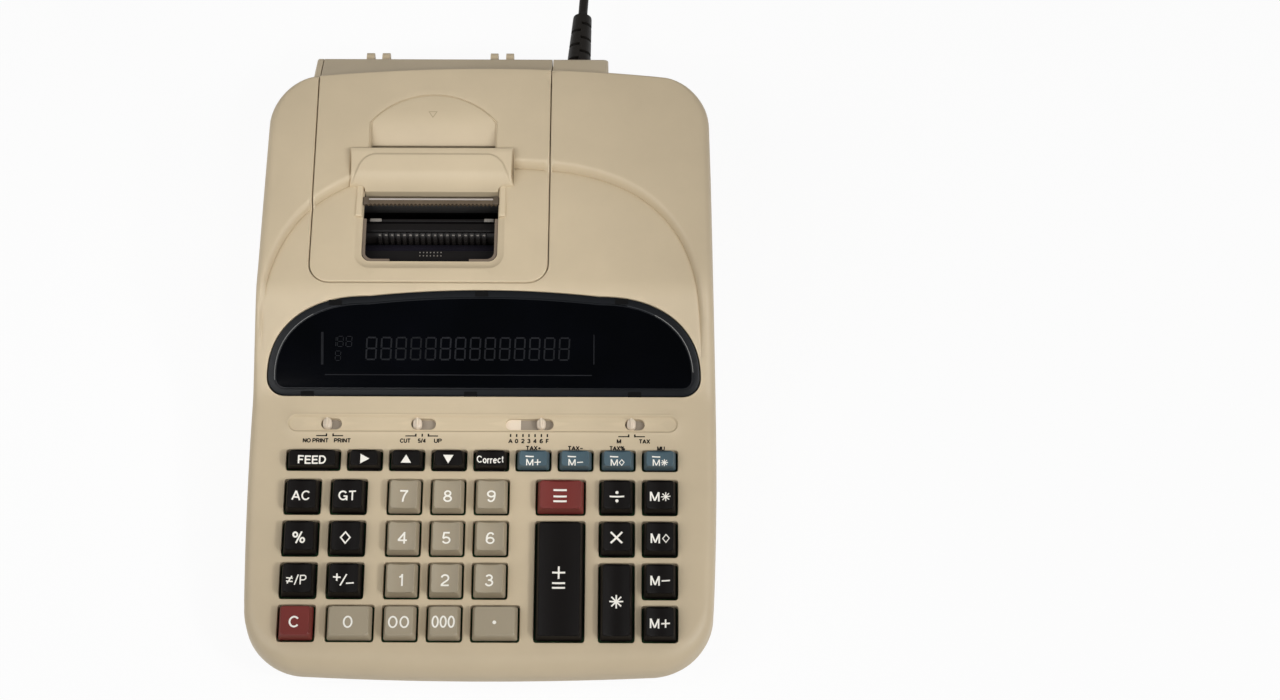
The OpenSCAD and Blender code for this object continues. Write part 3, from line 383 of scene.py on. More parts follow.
def grow(outline, g):
    """A closed anticlockwise outline moved outward by g along its normals."""
    t = unit(np.roll(outline, -1, 0) - np.roll(outline, 1, 0))
    return outline - g * left_of(t)


def rect_distance(x, y, x0, y0, x1, y1, r):
    """Signed distance to a rounded rectangle, negative inside."""
    qx = np.abs(x - (x0 + x1) / 2) - (x1 - x0) / 2 + r
    qy = np.abs(y - (y0 + y1) / 2) - (y1 - y0) / 2 + r
    outside = np.hypot(np.maximum(qx, 0), np.maximum(qy, 0))
    return outside + np.minimum(np.maximum(qx, qy), 0) - r


def inside(points, outline):
    """Even-odd test of points against a closed outline."""
    x, y = points[:, 0], points[:, 1]
    hit = np.zeros(len(points), bool)
    for (ax, ay), (bx, by) in zip(outline, np.roll(outline, -1, 0)):
        if ay != by:
            crosses = (ay > y) != (by > y)
            hit ^= crosses & (x < (bx - ax) * (y - ay) / (by - ay) + ax)
    return hit


def lip(distance, r):
    """Drop of a rounded edge of radius r at a distance from it."""
    e = np.clip(distance, 0, r)
    return r - np.sqrt(np.maximum(r * r - (r - e) ** 2, 0))


def lip_steps(r):
    return [r * (1 - math.cos(a)) for a in np.radians([0, 25, 50, 75, 90])]


def smooth_max(a, b, k):
    h = np.clip(0.5 + 0.5 * (a - b) / k, 0, 1)
    return b + (a - b) * h + k * h * (1 - h)


def smooth_min(a, b, k):
    return -smooth_max(-a, -b, k)


def triangulate(outer, holes, lines, spots):
    """Triangles of a plan with holes; lines are kept as edges and spots as points."""
    loops = [outer] + holes
    points = []
    edges = []
    for loop in loops:
        start = len(points)
        points.extend(map(tuple, loop))
        edges.extend((start + i, start + (i + 1) % len(loop)) for i in range(len(loop)))
    for line in lines:
        start = len(points)
        points.extend(map(tuple, line))
        edges.extend((start + i, start + i + 1) for i in range(len(line) - 1))
    tree = KDTree(len(points))
    for i, (x, y) in enumerate(points):
        tree.insert((x, y, 0), i)
    tree.balance()
    for x, y, room in spots:
        if tree.find((x, y, 0))[2] > room:
            points.append((x, y))
    out = delaunay_2d_cdt([Vector(p) for p in points], edges, [], 0, 1e-6)
    co = np.array([tuple(v) for v in out[0]])
    tris = np.array(out[2])
    mid = co[tris].mean(1)
    keep = inside(mid, np.array(outer))
    for hole in holes:
        keep &= ~inside(mid, np.array(hole))
    tris = tris[keep]
    first = {}
    for i, origs in enumerate(out[3]):
        for o in origs:
            first[o] = i
    return co, tris, first


def free_edges(tris):
    """Directed edges that belong to one triangle only."""
    seen = {}
    for a, b, c in tris:
        for e in ((a, b), (b, c), (c, a)):
            seen[e] = True
    return [e for e in seen if (e[1], e[0]) not in seen]


def thick_sheet(build, co, tris, height, thick, run=(), columns=()):
    """A sheet at a height, its underside and its free edges, with columns for the edge along a run."""
    z = height(co[:, 0], co[:, 1])
    used = sorted(set(tris.ravel().tolist()) | set(run))
    place = {u: i for i, u in enumerate(used)}
    top = build.add([(co[u][0], co[u][1], z[u]) for u in used])
    low = build.add([(co[u][0], co[u][1], z[u] - thick) for u in used])
    for a, b, c in tris:
        build.face((top[place[a]], top[place[b]], top[place[c]]))
        build.face((low[place[c]], low[place[b]], low[place[a]]))
    on_run = set(run)
    for a, b in free_edges(tris.tolist()):
        if not (a in on_run and b in on_run):
            build.face((top[place[b]], top[place[a]], low[place[a]], low[place[b]]))
    made = [[top[place[v]]] + build.add(column) + [low[place[v]]] for v, column in zip(run, columns)]
    for a, b in zip(made, made[1:]):
        build.bridge(a, b, closed=False)
    if made:
        build.face(made[0])
        build.face(made[-1])


# The top surface

def line_z(start, angle, y):
    return start[1] + (y - start[0]) * math.tan(angle)


def arch_distance(x, y):
    """Distance outside the arch's crease, negative inside."""
    u = np.abs(x - ARCH_X) / ARCH_HALF
    v = np.maximum(y - ARCH_Y, 0) / ARCH_L
    f = np.maximum((u ** ARCH_POWER + v ** ARCH_POWER) ** (1 / ARCH_POWER), 0.05)
    gx = f ** (1 - ARCH_POWER) * u ** (ARCH_POWER - 1) / ARCH_HALF
    gy = f ** (1 - ARCH_POWER) * v ** (ARCH_POWER - 1) / ARCH_L
    return np.clip((f - 1) / np.maximum(np.hypot(gx, gy), 1e-4), *ARCH_REACH)


def arch_line(d):
    """Points of the arch moved outward by d, from right to left."""
    t = np.linspace(0, math.pi, 161)
    c, s = np.cos(t), np.sin(t)
    x = ARCH_X + np.sign(c) * (ARCH_HALF + d) * np.abs(c) ** (2 / ARCH_POWER)
    y = ARCH_Y + (ARCH_L + d) * np.abs(s) ** (2 / ARCH_POWER)
    return stack(x, y)


POD_BLEND = (0.8, 2.2)
SHOULDER_BLEND = (1.5, 3.0)
ARCH_FADE = 20
BULGE = 1.0
BULGE_W = 8
CREASE = 0.65
CREASE_W = 0.5


def top_z(x, y):
    """Height of the case's top: deck, display slope, pod inside the arch, shoulder outside."""
    deck = DECK_Z + y * math.tan(DECK_A)
    pod = smooth_max(deck, line_z(DECK_END, SLOPE_A, y), POD_BLEND[0])
    pod = smooth_min(pod, line_z(SLOPE_END, POD_A, y), POD_BLEND[1])
    shoulder_end = SLOPE_END + np.array([0, SHOULDER_RISE])
    rise_a = math.atan2(shoulder_end[1] - DECK_END[1], shoulder_end[0] - DECK_END[0])
    shoulder = smooth_max(deck, line_z(DECK_END, rise_a, y), SHOULDER_BLEND[0])
    shoulder = smooth_min(shoulder, line_z(shoulder_end, SHOULDER_A, y), SHOULDER_BLEND[1])
    d = arch_distance(x, y)
    fade = np.clip((y - ARCH_Y) / ARCH_FADE, 0, 1)
    bulge = BULGE * fade * np.exp(np.minimum(d, 0) / BULGE_W)
    step = np.sin(np.clip(d / ARCH_BAND, 0, 1) * math.pi / 2)
    crease = CREASE * fade * np.exp(-(d / CREASE_W) ** 2)
    return pod - bulge - crease + (shoulder - pod + bulge) * step


FAR = 600
COVER_LIP = 0.6
COVER_ROOM = 1.0


def cover_distance(x, y, g=0.0):
    """Signed distance to the cover's outline, which is open to the rear."""
    x0, x1 = PRINTER_X - COVER_HALF - g, PRINTER_X + COVER_HALF + g
    return rect_distance(x, y, x0, COVER_Y - g, x1, FAR, COVER_R + g)


def cover_line(g, steps, e):
    """The cover's outline, grown by a gap and then by e, from rear left round the front to rear right."""
    x0, x1, y0 = PRINTER_X - COVER_HALF - g, PRINTER_X + COVER_HALF + g, COVER_Y - g
    r = COVER_R + g
    return np.concatenate([
        stack(x0 - e, steps[::-1]), arc(x0 + r, y0 + r, r + e, 180, 270, 8),
        stack(np.linspace(x0 + r, x1 - r, 30)[1:-1], y0 - e),
        arc(x1 - r, y0 + r, r + e, -90, 0, 8), stack(x1 + e, steps)])


def strip_distance(x, y):
    s = y / math.cos(DECK_A)
    r = STRIP_D / 2
    return rect_distance(x, s, -STRIP_HALF, STRIP_S - r, STRIP_HALF, STRIP_S + r, r)


# Raised bead round the slide switch strip, and its sunk floor: distances from its outline and drops
STRIP_PLACES = (-1.0, -0.6, -0.25, 0.15, 0.5, 0.9, 1.3)
STRIP_DROPS = (0.75, 0.7, 0.25, -0.22, -0.3, -0.18, 0.0)

KEY_CLEAR = 0.95
KEY_LIP = 0.45
HOLE_R = 1.3
KEY_TRIM = (0.35, 0.25, 0.2)


def cap_box(node):
    """A key cap's foot in the deck's plane, drawn in at the sides, the front and the back."""
    lo, hi = deck_box(node)
    side, front, back = KEY_TRIM
    return lo[0] + side, lo[1] + front, hi[0] - side, hi[1] - back


openings = []
for node in KEYS:
    x_lo, s_lo, x_hi, s_hi = cap_box(node)
    openings.append((x_lo - KEY_CLEAR, s_lo - KEY_CLEAR, x_hi + KEY_CLEAR, s_hi + KEY_CLEAR))


def openings_distance(x, y):
    s = y / math.cos(DECK_A)
    d = np.full(np.shape(x), FAR)
    for x0, s0, x1, s1 in openings:
        d = np.minimum(d, rect_distance(x, s, x0, s0, x1, s1, HOLE_R))
    return d


SLOT_HALF = 2.9
SLOT_END = 0.85
slots = []
for joint in frame["joints"]:
    if joint["child"] in KNOBS:
        lo, hi = deck_box(joint["child"])
        low, high = (v / MM for v in joint["range_m"])
        ends = lo[0] + low - SLOT_END, hi[0] + high + SLOT_END
        slots.append((ends[0], STRIP_S - SLOT_HALF, ends[1], STRIP_S + SLOT_HALF))


def case_z(x, y):
    """Height of the upper case with its openings' lips and the switch strip."""
    bead = np.interp(strip_distance(x, y), STRIP_PLACES, STRIP_DROPS)
    z = top_z(x, y) - lip(openings_distance(x, y), KEY_LIP) - bead
    return z - lip(cover_distance(x, y, SEAM), COVER_LIP)


# Outer outline at the split, anticlockwise from the rear right of the cover

def rear_line(x):
    return REAR_Y - REAR_BOW + np.sqrt(REAR_BOW ** 2 - x * x)


SIDE_MID = 125
SIDE_REACH = 150
FRONT_NARROW = 2.4
REAR_NARROW = 1.2
REAR_POWER = 1.5
FRONT_R = 31
REAR_R = 27
FRONT_BOW = 2.0


def side_half(y):
    """Half width of the case, widest between the keys and the display."""
    ahead = np.clip((SIDE_MID - y) / (SIDE_MID - FRONT_R), 0, 1)
    behind = np.clip((y - SIDE_MID) / SIDE_REACH, 0, 1)
    return HALF_W - FRONT_NARROW * ahead ** 2 - REAR_NARROW * behind ** REAR_POWER


def case_outline(x_from, x_to):
    """Outline from x_from on the rear edge round the right, front and left to x_to."""
    cx = HALF_W - REAR_NARROW - REAR_R
    cy = REAR_Y - REAR_BOW + math.sqrt((REAR_BOW - REAR_R) ** 2 - cx * cx)
    tilt = math.degrees(math.asin(cx / (REAR_BOW - REAR_R)))
    end_x = cx + REAR_R * math.sin(math.radians(tilt))
    right = np.linspace(x_from, end_x, max(2, int((end_x - x_from) / 4)))[:-1]
    left = np.linspace(-end_x, x_to, max(2, int((x_to + end_x) / 4)))[1:]
    fx = HALF_W - FRONT_NARROW - FRONT_R
    sides = np.linspace(cy, FRONT_R + FRONT_BOW, 75)[1:-1]
    front = np.linspace(fx, -fx, 40)[1:-1]
    right_corner = arc(fx, FRONT_R + FRONT_BOW, FRONT_R, 0, -90, 20)
    left_corner = arc(-fx, FRONT_R + FRONT_BOW, FRONT_R, -90, -180, 20)
    return np.concatenate([
        stack(right, rear_line(right)), arc(cx, cy, REAR_R, 90 - tilt, 0, 14),
        stack(side_half(sides), sides), right_corner,
        stack(front, FRONT_BOW * (front / fx) ** 2), left_corner,
        stack(-side_half(sides[::-1]), sides[::-1]),
        arc(-cx, cy, REAR_R, 180, 90 + tilt, 14), stack(left, rear_line(left))])


def outward(line):
    """Normals to the left of an open line, which are outward where it runs clockwise."""
    return left_of(unit(np.gradient(line, axis=0)))


FILLET_STEPS = np.radians([90, 75, 60, 45, 30, 15, 0])
WALL_SHARES = (0.66, 0.33, 0.04)
SIDE_EDGE_R = 5.0
FRONT_EDGE_MORE = 4.0
FOOT_INSET = 0.5


def edge_columns(line, height, low):
    """For each point of the outer line: the inner end of the top fillet and the column down the wall."""
    normal = outward(line)
    radius = SIDE_EDGE_R + FRONT_EDGE_MORE * np.clip(-normal[:, 1], 0, 1)
    radius = radius - (SIDE_EDGE_R - REAR_EDGE_R) * np.clip(normal[:, 1], 0, 1) ** 3
    lean = math.tan(DRAFT) * np.abs(normal[:, 0])
    inset = np.zeros(len(line))
    for _ in range(4):
        p = line - (inset + radius)[:, None] * normal
        wall_top = height(p[:, 0], p[:, 1]) - radius
        inset = (wall_top - SPLIT_Z) * lean
    rings = []
    for a in FILLET_STEPS:
        p = line - (inset + radius * (1 - math.cos(a)))[:, None] * normal
        z = height(p[:, 0], p[:, 1]) - radius * (1 - math.sin(a))
        rings.append(stack(*p.T, z))
    for k in WALL_SHARES:
        p = line - (inset * k)[:, None] * normal
        rings.append(stack(*p.T, low + (wall_top - low) * k))
    for inset in (FOOT_INSET, WALL):
        rings.append(stack(*(line - inset * normal).T, low))
    return rings


def grid(x0, x1, y0, y1, dx, dy, room):
    """Spots of a grid, each with the room that it needs."""
    return [(x, y, room) for x in np.arange(x0, x1, dx) for y in np.arange(y0, y1, dy)]


def kept(spots, test):
    """The spots whose places pass a test."""
    places = np.array([(x, y) for x, y, _ in spots])
    return [spot for spot, good in zip(spots, test(places)) if good]


def clip_runs(line, keep):
    """The stretches of a line whose points are kept."""
    runs = []
    run = []
    for p, k in zip(line, keep):
        if k:
            run.append(p)
        elif run:
            runs.append(np.array(run))
            run = []
    if run:
        runs.append(np.array(run))
    return [r for r in runs if len(r) > 1]


def plan(outline):
    """An outline in the deck's plane seen from above."""
    return stack(outline[:, 0], outline[:, 1] * math.cos(DECK_A))


def closed(ring):
    """A ring as a line that ends where it starts."""
    return np.concatenate([ring, ring[:1]])


LENS_GAP = 0.3
LENS_FOOT_R = 9
LENS_SIDE = 50
LENS_BOW = 3


def lens_outline(g):
    """Lens outline in the display's plane, anticlockwise from its foot."""
    foot, x_end = LENS_FOOT_R, LENS_HALF - LENS_SIDE
    top = LENS_H - LENS_BOW - foot
    a = np.radians(np.linspace(0, 90, 25))[1:].clip(0, math.pi / 2 - 1e-9)
    c, s = np.cos(a) ** (2 / LENS_POWER), np.sin(a) ** (2 / LENS_POWER)
    right = stack(x_end + (LENS_SIDE + g) * c, foot + (top + g) * s)
    x = np.linspace(x_end, -x_end, 25)[1:-1]
    bowed = stack(x, foot + top + g + LENS_BOW * (1 - (x / x_end) ** 2))
    left = right[::-1] * np.array([-1, 1])
    return np.concatenate([
        arc(LENS_HALF - foot, foot, foot + g, -90, 0, 8), right, bowed, left,
        arc(foot - LENS_HALF, foot, foot + g, 180, 270, 8)]) - np.array([0, LENS_LOW])


SIDE_STEP = 3.0
EDGE_ROOM = 1.8
HOLE_ROOM = 0.8
LENS_ROOM = 0.6
ARCH_FOOT = 4
SLOT_R = SLOT_HALF - 0.05
ARCH_STEPS = [-9, -5, -2.5, -1.1, -0.5, 0, 0.5, 1.0, 1.7, 2.5, 3.3, 4.2]
# Grids of points on the top: from and to along y, steps, room; the last two where the top bends
TOP_X = (-110, 111)
TOP_GRIDS = [(4, 300, 5, 5, 1.6), (132, 146, 3, 1.2, 0.9), (172, 200, 4, 1.6, 1.0)]


def build_upper_case():
    """Top and walls as one sheet, with openings for the keys, slots, lens and cover."""
    line = case_outline(PRINTER_X + COVER_HALF + SEAM, PRINTER_X - COVER_HALF - SEAM)
    rings = edge_columns(line, case_z, SPLIT_Z)
    inner = rings[0][:, :2]
    steps = np.arange(COVER_Y - SEAM + (COVER_R + SEAM) + SIDE_STEP, inner[0][1] - 2, SIDE_STEP)
    bay = cover_line(SEAM, steps, 0)
    outer = np.concatenate([inner, bay])[::-1]
    holes = []
    lines = []
    for x_lo, s_lo, x_hi, s_hi in openings:
        holes.append(plan(round_rect(x_lo, s_lo, x_hi, s_hi, HOLE_R)))
        for e in lip_steps(KEY_LIP)[1:]:
            lines.append(closed(plan(round_rect(x_lo - e, s_lo - e, x_hi + e, s_hi + e, HOLE_R + e))))
    for x_lo, s_lo, x_hi, s_hi in slots:
        holes.append(plan(round_rect(x_lo, s_lo, x_hi, s_hi, SLOT_R, 8)))
    radius = STRIP_D / 2
    for e in STRIP_PLACES:
        half, low, high = STRIP_HALF + e, STRIP_S - radius - e, STRIP_S + radius + e
        lines.append(closed(plan(round_rect(-half, low, half, high, radius + e, 10))))
    lens_plan = slope_point(*lens_outline(LENS_GAP).T, 0)[:, :2]
    holes.append(lens_plan)
    lines.extend(cover_line(SEAM, steps, e) for e in lip_steps(COVER_LIP)[1:])
    for d in ARCH_STEPS:
        path = arch_line(d)
        keep = (cover_distance(*path.T, SEAM) > COVER_ROOM) & inside(path, outer)
        keep &= (path[:, 1] > ARCH_Y + ARCH_FOOT) & ~inside(path, grow(lens_plan, LENS_ROOM))
        lines.extend(clip_runs(path, keep))
    field = np.concatenate([inner - EDGE_ROOM * outward(line), bay])
    spots = [spot for ends in TOP_GRIDS for spot in grid(*TOP_X, *ends)]
    spots = kept(spots, lambda p: inside(p, field) & ~inside(p, lens_plan))
    spots = kept(spots, lambda p: openings_distance(*p.T) > HOLE_ROOM)
    co, tris, first = triangulate(outer, holes, lines, spots)
    count = len(inner)
    run = [first[len(outer) - 1 - i] for i in range(count)]
    columns = [[ring[i] for ring in rings[1:]] for i in range(count)]
    build = Build()
    thick_sheet(build, co, tris, case_z, WALL, run, columns)
    build_block(build)
    build_ears(build)
    return build


LEDGE_A = math.radians(28)
HINGE = np.array([BLOCK_REAR - BARREL_R, BLOCK_Z - BARREL_R])
BLOCK_IN = 9


def ledge_z(y):
    """Height of the ledge that falls from the top's rear wall to the hinge barrel."""
    touch = HINGE + BARREL_R * np.array([math.sin(LEDGE_A), math.cos(LEDGE_A)])
    return touch[1] + (touch[0] - y) * math.tan(LEDGE_A)


def block_section(x, drop, top):
    """Section of the block behind the top, with a rounded nose, lowered and cut off at a height."""
    nose = arc(*HINGE, BARREL_R, 90 - math.degrees(LEDGE_A), 0, 10)
    start = REAR_Y - BLOCK_IN
    ring = np.concatenate([[[start, SPLIT_Z], [start, ledge_z(start)]], nose, [[BLOCK_REAR, SPLIT_Z]]])
    return [(x, y, z if z <= SPLIT_Z else min(z - drop, top)) for y, z in ring]


BLOCK_EDGE = 0.8
# Rounded right end of the block: distances from it and drops
BLOCK_END = [(2.0, 0), (1.2, 0.25), (0.5, 0.8), (0.1, 1.5), (0, 2.2)]


def build_block(build):
    """Block behind the top, cut down where the cover's barrel lies."""
    bay = (PRINTER_X - COVER_HALF - SEAM, PRINTER_X + COVER_HALF + SEAM)
    low = BLOCK_Z - 2 * BARREL_R - SEAM
    stations = [(BLOCK_X[0] + e, BLOCK_EDGE - e, FAR) for e in (0, 0.25, BLOCK_EDGE)]
    stations += [(bay[0], 0, FAR), (bay[0], 0, low), (bay[1], 0, low), (bay[1], 0, FAR)]
    stations += [(BLOCK_X[1] - e, d, FAR) for e, d in BLOCK_END]
    build.loft([block_section(*at) for at in stations])


EAR_W = 3.9
EAR_GAP = 4.2
EAR_SPAN = 64.4
EAR_H = 9
EAR_L = 10
EAR_HOLE = 2
EAR_DROP = 18
EAR_ROOT = 1
EAR_END_A = 80


def build_ears(build):
    """Two pairs of ears with a cross hole and round ends, for a paper roll holder."""
    z0, z1, root = BLOCK_Z - EAR_DROP, BLOCK_Z - EAR_DROP + EAR_H, BLOCK_REAR - EAR_ROOT
    cy, cz = BLOCK_REAR + EAR_L / 2 + 0.5, z0 + EAR_H / 2
    end = arc(cy, cz, EAR_H / 2 - 0.05, -EAR_END_A, EAR_END_A, 12)
    outline = np.concatenate([[[root, z0], [cy, z0]], end, [[cy, z1], [root, z1]]])
    hole = arc(cy, cz, EAR_HOLE, 0, 360, 24)[:-1]
    co, tris, _ = triangulate(outline, [hole], [], [])
    for pair in (-1, 1):
        for side in (-1, 1):
            x = PRINTER_X + pair * EAR_SPAN / 2 + side * (EAR_W + EAR_GAP) / 2
            part = Build()
            thick_sheet(part, co, tris, lambda a, b: np.full(np.shape(a), EAR_W / 2), EAR_W)
            start = len(build.points)
            build.points.extend((x + z, y, w) for y, w, z in part.points)
            for f in part.faces:
                build.face([start + i for i in f])


# Printer cover

SCOOP_R = (SCOOP_HALF ** 2 + SCOOP_RISE ** 2) / (2 * SCOOP_RISE)
BEZEL = 3.2
BEZEL_LOW = 1.4
BEZEL_PLACES = (0, 0.3, BEZEL - 0.6, BEZEL - 0.1, BEZEL + 0.4)
BEZEL_DROPS = (1.9, 1.6, 0.55, 0.15, 0.0)
GROOVE = 0.5
GROOVE_D = 0.9
SCOOP_PLACES = (-1.1, -0.75, -GROOVE, -0.25, 0.25, GROOVE, 0.8)
SCOOP_DROPS = (0, 0, 0.1, GROOVE_D, GROOVE_D, 0.1, 0)
SCOOP_DEPTH = 6.0
SCOOP_EDGE = (0.25, 0.5)
SCOOP_FLAT = 0.38
SCOOP_POWER = 1.7
WINDOW_X = (PRINTER_X - WINDOW_HALF, PRINTER_X + WINDOW_HALF)
PAPER_IN = 0.5
PAPER_R = 0.4
# Foot of the cover's rear wall: distances behind it and heights over the ledge
REAR_FOOT = [(0.02, 0.6), (0.2, 0.05)]
REAR_FOOT_L = 0.6
# Points along the cover's rear edge, in from its ends
REAR_ENDS = np.array([0, 0.3, 0.7])
REAR_MIDDLE = 3
COVER_GRID = (2, 305, 4, 1.4)


def scoop_distance(x, y):
    """Signed distance to the scoop's outline behind the paper slot."""
    circle = np.hypot(x - PRINTER_X, y - SCOOP_END + SCOOP_R) - SCOOP_R
    return np.maximum(circle, np.abs(x - PRINTER_X) - SCOOP_HALF)


def cover_z(x, y):
    """Height of the cover with its rounded edge, the scoop and the bezel round the window."""
    z = top_z(x, y) - lip(-cover_distance(x, y), COVER_LIP)
    d = scoop_distance(x, y)
    share = (SCOOP_END - y) / (SCOOP_END - HOOD_Y[1] - SLOT_GAP)
    depth = SCOOP_DEPTH * np.clip((share - SCOOP_FLAT) / (1 - SCOOP_FLAT), 0, 1) ** SCOOP_POWER
    z = z - depth * np.clip((-d - SCOOP_EDGE[0]) / SCOOP_EDGE[1], 0, 1)
    z = z - np.interp(d, SCOOP_PLACES, SCOOP_DROPS) * (y > HOOD_Y[1])
    w = rect_distance(x, y, WINDOW_X[0], WINDOW_Y[0] - BEZEL_LOW, WINDOW_X[1], WINDOW_Y[1], WINDOW_R)
    return z - np.interp(w, BEZEL_PLACES, BEZEL_DROPS)


def rear_fall(x):
    """Column of the cover's rear: drop wall, ledge, hinge barrel and the inside of the wall."""
    y = float(rear_line(x))
    wall = [(y + back, ledge_z(y) + up) for back, up in REAR_FOOT]
    wall += [(y + REAR_FOOT_L, ledge_z(y + REAR_FOOT_L))]
    round_end = [tuple(p) for p in arc(*HINGE, BARREL_R, 90 - math.degrees(LEDGE_A), -180, 20)]
    back = [(HINGE[0] - BARREL_R, BLOCK_Z - WALL), (y - WALL, BLOCK_Z - WALL)]
    return [(x, a, b) for a, b in wall + round_end + back]


def build_cover():
    """Cover as one sheet with its rear edge, ledge and hinge barrel."""
    x0, x1 = PRINTER_X - COVER_HALF, PRINTER_X + COVER_HALF
    middle = np.linspace(x0 + REAR_MIDDLE, x1 - REAR_MIDDLE, 40)
    xs = np.concatenate([x0 + REAR_ENDS, middle, x1 - REAR_ENDS[::-1]])
    rings = []
    for a in FILLET_STEPS:
        y = rear_line(xs) - REAR_EDGE_R * (1 - math.cos(a))
        rings.append(stack(xs, y, cover_z(xs, y) - REAR_EDGE_R * (1 - math.sin(a))))
    inner = rings[0][:, :2]
    steps = np.arange(COVER_Y + COVER_R + SIDE_STEP, inner[0][1] - 2, SIDE_STEP)
    rim = cover_line(0, steps, 0)
    outer = np.concatenate([rim, inner[::-1]])
    slot_half, slot_end = SCOOP_HALF - PAPER_IN, HOOD_Y[1] + SLOT_GAP
    holes = [
        round_rect(WINDOW_X[0], WINDOW_Y[0], WINDOW_X[1], WINDOW_Y[1], WINDOW_R, 8),
        round_rect(PRINTER_X - slot_half, HOOD_Y[1], PRINTER_X + slot_half, slot_end, PAPER_R)]
    lines = [cover_line(0, steps, -e) for e in lip_steps(COVER_LIP)[1:]]
    for e in BEZEL_PLACES[1:]:
        low, high = WINDOW_Y[0] - BEZEL_LOW - e, WINDOW_Y[1] + e
        lines.append(closed(round_rect(WINDOW_X[0] - e, low, WINDOW_X[1] + e, high, WINDOW_R + e, 8)))
    for e in SCOOP_PLACES:
        turn = math.degrees(math.asin((SCOOP_HALF + e) / (SCOOP_R + e)))
        crown = arc(PRINTER_X, SCOOP_END - SCOOP_R, SCOOP_R + e, 90 - turn, 90 + turn, 30)
        rise = np.linspace(HOOD_Y[1] + 0.2, crown[0][1], 12)[:-1]
        right, left = PRINTER_X + SCOOP_HALF + e, PRINTER_X - SCOOP_HALF - e
        lines.append(np.concatenate([stack(right, rise), crown, stack(left, rise[::-1])]))
    for d in ARCH_STEPS:
        path = arch_line(d)
        near_slot = (np.abs(path[:, 0] - PRINTER_X) < HOOD_HALF - 1) & (path[:, 1] > HOOD_Y[0] - 3)
        lines.extend(clip_runs(path, (cover_distance(*path.T) < -COVER_ROOM) & ~near_slot))
    start, end, step, room = COVER_GRID
    spots = grid(x0 + start, x1, COVER_Y + start, end, step, step, room)
    spots = kept(spots, lambda p: inside(p, outer))
    for hole in holes:
        spots = kept(spots, lambda p: ~inside(p, grow(hole, 0.5)))
    co, tris, first = triangulate(outer, holes, lines, spots)
    run = [first[len(rim) + len(xs) - 1 - i] for i in range(len(xs))]
    columns = [[ring[i] for ring in rings[1:]] + rear_fall(xs[i]) for i in range(len(xs))]
    build = Build()
    thick_sheet(build, co, tris, cover_z, WALL, run, columns)
    return build


HOOD_CREST = 78.4
HOOD_FLAT = 2.2
HOOD_SLOPE = 0.28
HOOD_HANG = 0.075
HOOD_HANG_L = 8.5
HOOD_SINK = 2.6
HOOD_LIP = 0.7
HOOD_T = 5.0
WING_Y = HOOD_Y[0] + 2.3
PANEL_TOP = HOOD_Y[1] - 3.6
PANEL_HALF = 35.4
PANEL_FLARE = 0.42
PANEL_FLARE_TO = HOOD_Y[1] - 7
PANEL_SIDE = HOOD_HALF - 0.4
PANEL_R = 6.0
PANEL_PLACES = (-1.5, -1.1, -0.75, -0.35, 0.1, 0.5)
PANEL_RISES = (1.2, 1.14, 1.0, 0.62, 0.15, 0.0)
NOTCH_HALF = WINDOW_HALF - 0.3
# Inner corner of a wing: points beside the notch and ahead of the wing's front
WING_CORNER = [(0, 1.2), (1.5, 0.3)]
HOOD_STEP = 0.7
HOOD_ROOM = 0.32
# The band along the panel's edge that is left to its own lines: middle and half width
PANEL_BAND = (0.5, 1.2)


def panel_distance(x, y):
    """Signed distance to the hood's raised panel, whose sides flare towards the front."""
    flare = PANEL_HALF + (PANEL_FLARE_TO - y) * PANEL_FLARE
    qx = np.abs(x - PRINTER_X) - np.minimum(flare, PANEL_SIDE) + PANEL_R
    qy = y - PANEL_TOP + PANEL_R
    return np.hypot(np.maximum(qx, 0), np.maximum(qy, 0)) + np.minimum(np.maximum(qx, qy), 0) - PANEL_R


def panel_line():
    """Outline of the raised panel from its right foot over the top to its left foot."""
    xs = np.linspace(0, HOOD_HALF - 0.5, 240)
    points = []
    for y in np.linspace(HOOD_Y[0] - 4, PANEL_TOP, 240):
        d = panel_distance(PRINTER_X + xs, y)
        if d[0] < 0 < d[-1]:
            points.append((float(np.interp(0, d, xs)), y))
    points = np.array(points + [(0, PANEL_TOP)])
    gap = np.concatenate([[0], np.cumsum(np.linalg.norm(np.diff(points, axis=0), axis=1))])
    at = np.linspace(0, gap[-1], 70)
    right = stack(np.interp(at, gap, points[:, 0]), np.interp(at, gap, points[:, 1]))
    left = right[-2::-1] * np.array([-1, 1])
    return np.concatenate([right, left]) + np.array([PRINTER_X, 0])


def hood_z(x, y):
    """Height of the hood: a sloping band with a raised panel, hanging at its front."""
    plane = HOOD_CREST - np.maximum(HOOD_Y[1] - HOOD_FLAT - y, 0) * HOOD_SLOPE
    plane = np.maximum(plane, top_z(x, y) - HOOD_SINK)
    raised = np.interp(panel_distance(x, y), PANEL_PLACES, PANEL_RISES)
    edge = lip(np.minimum(HOOD_HALF - np.abs(x - PRINTER_X), HOOD_Y[1] - y), HOOD_LIP)
    hang = HOOD_HANG * np.maximum(HOOD_Y[0] + HOOD_HANG_L - y, 0) ** 2
    return plane + raised - edge - hang


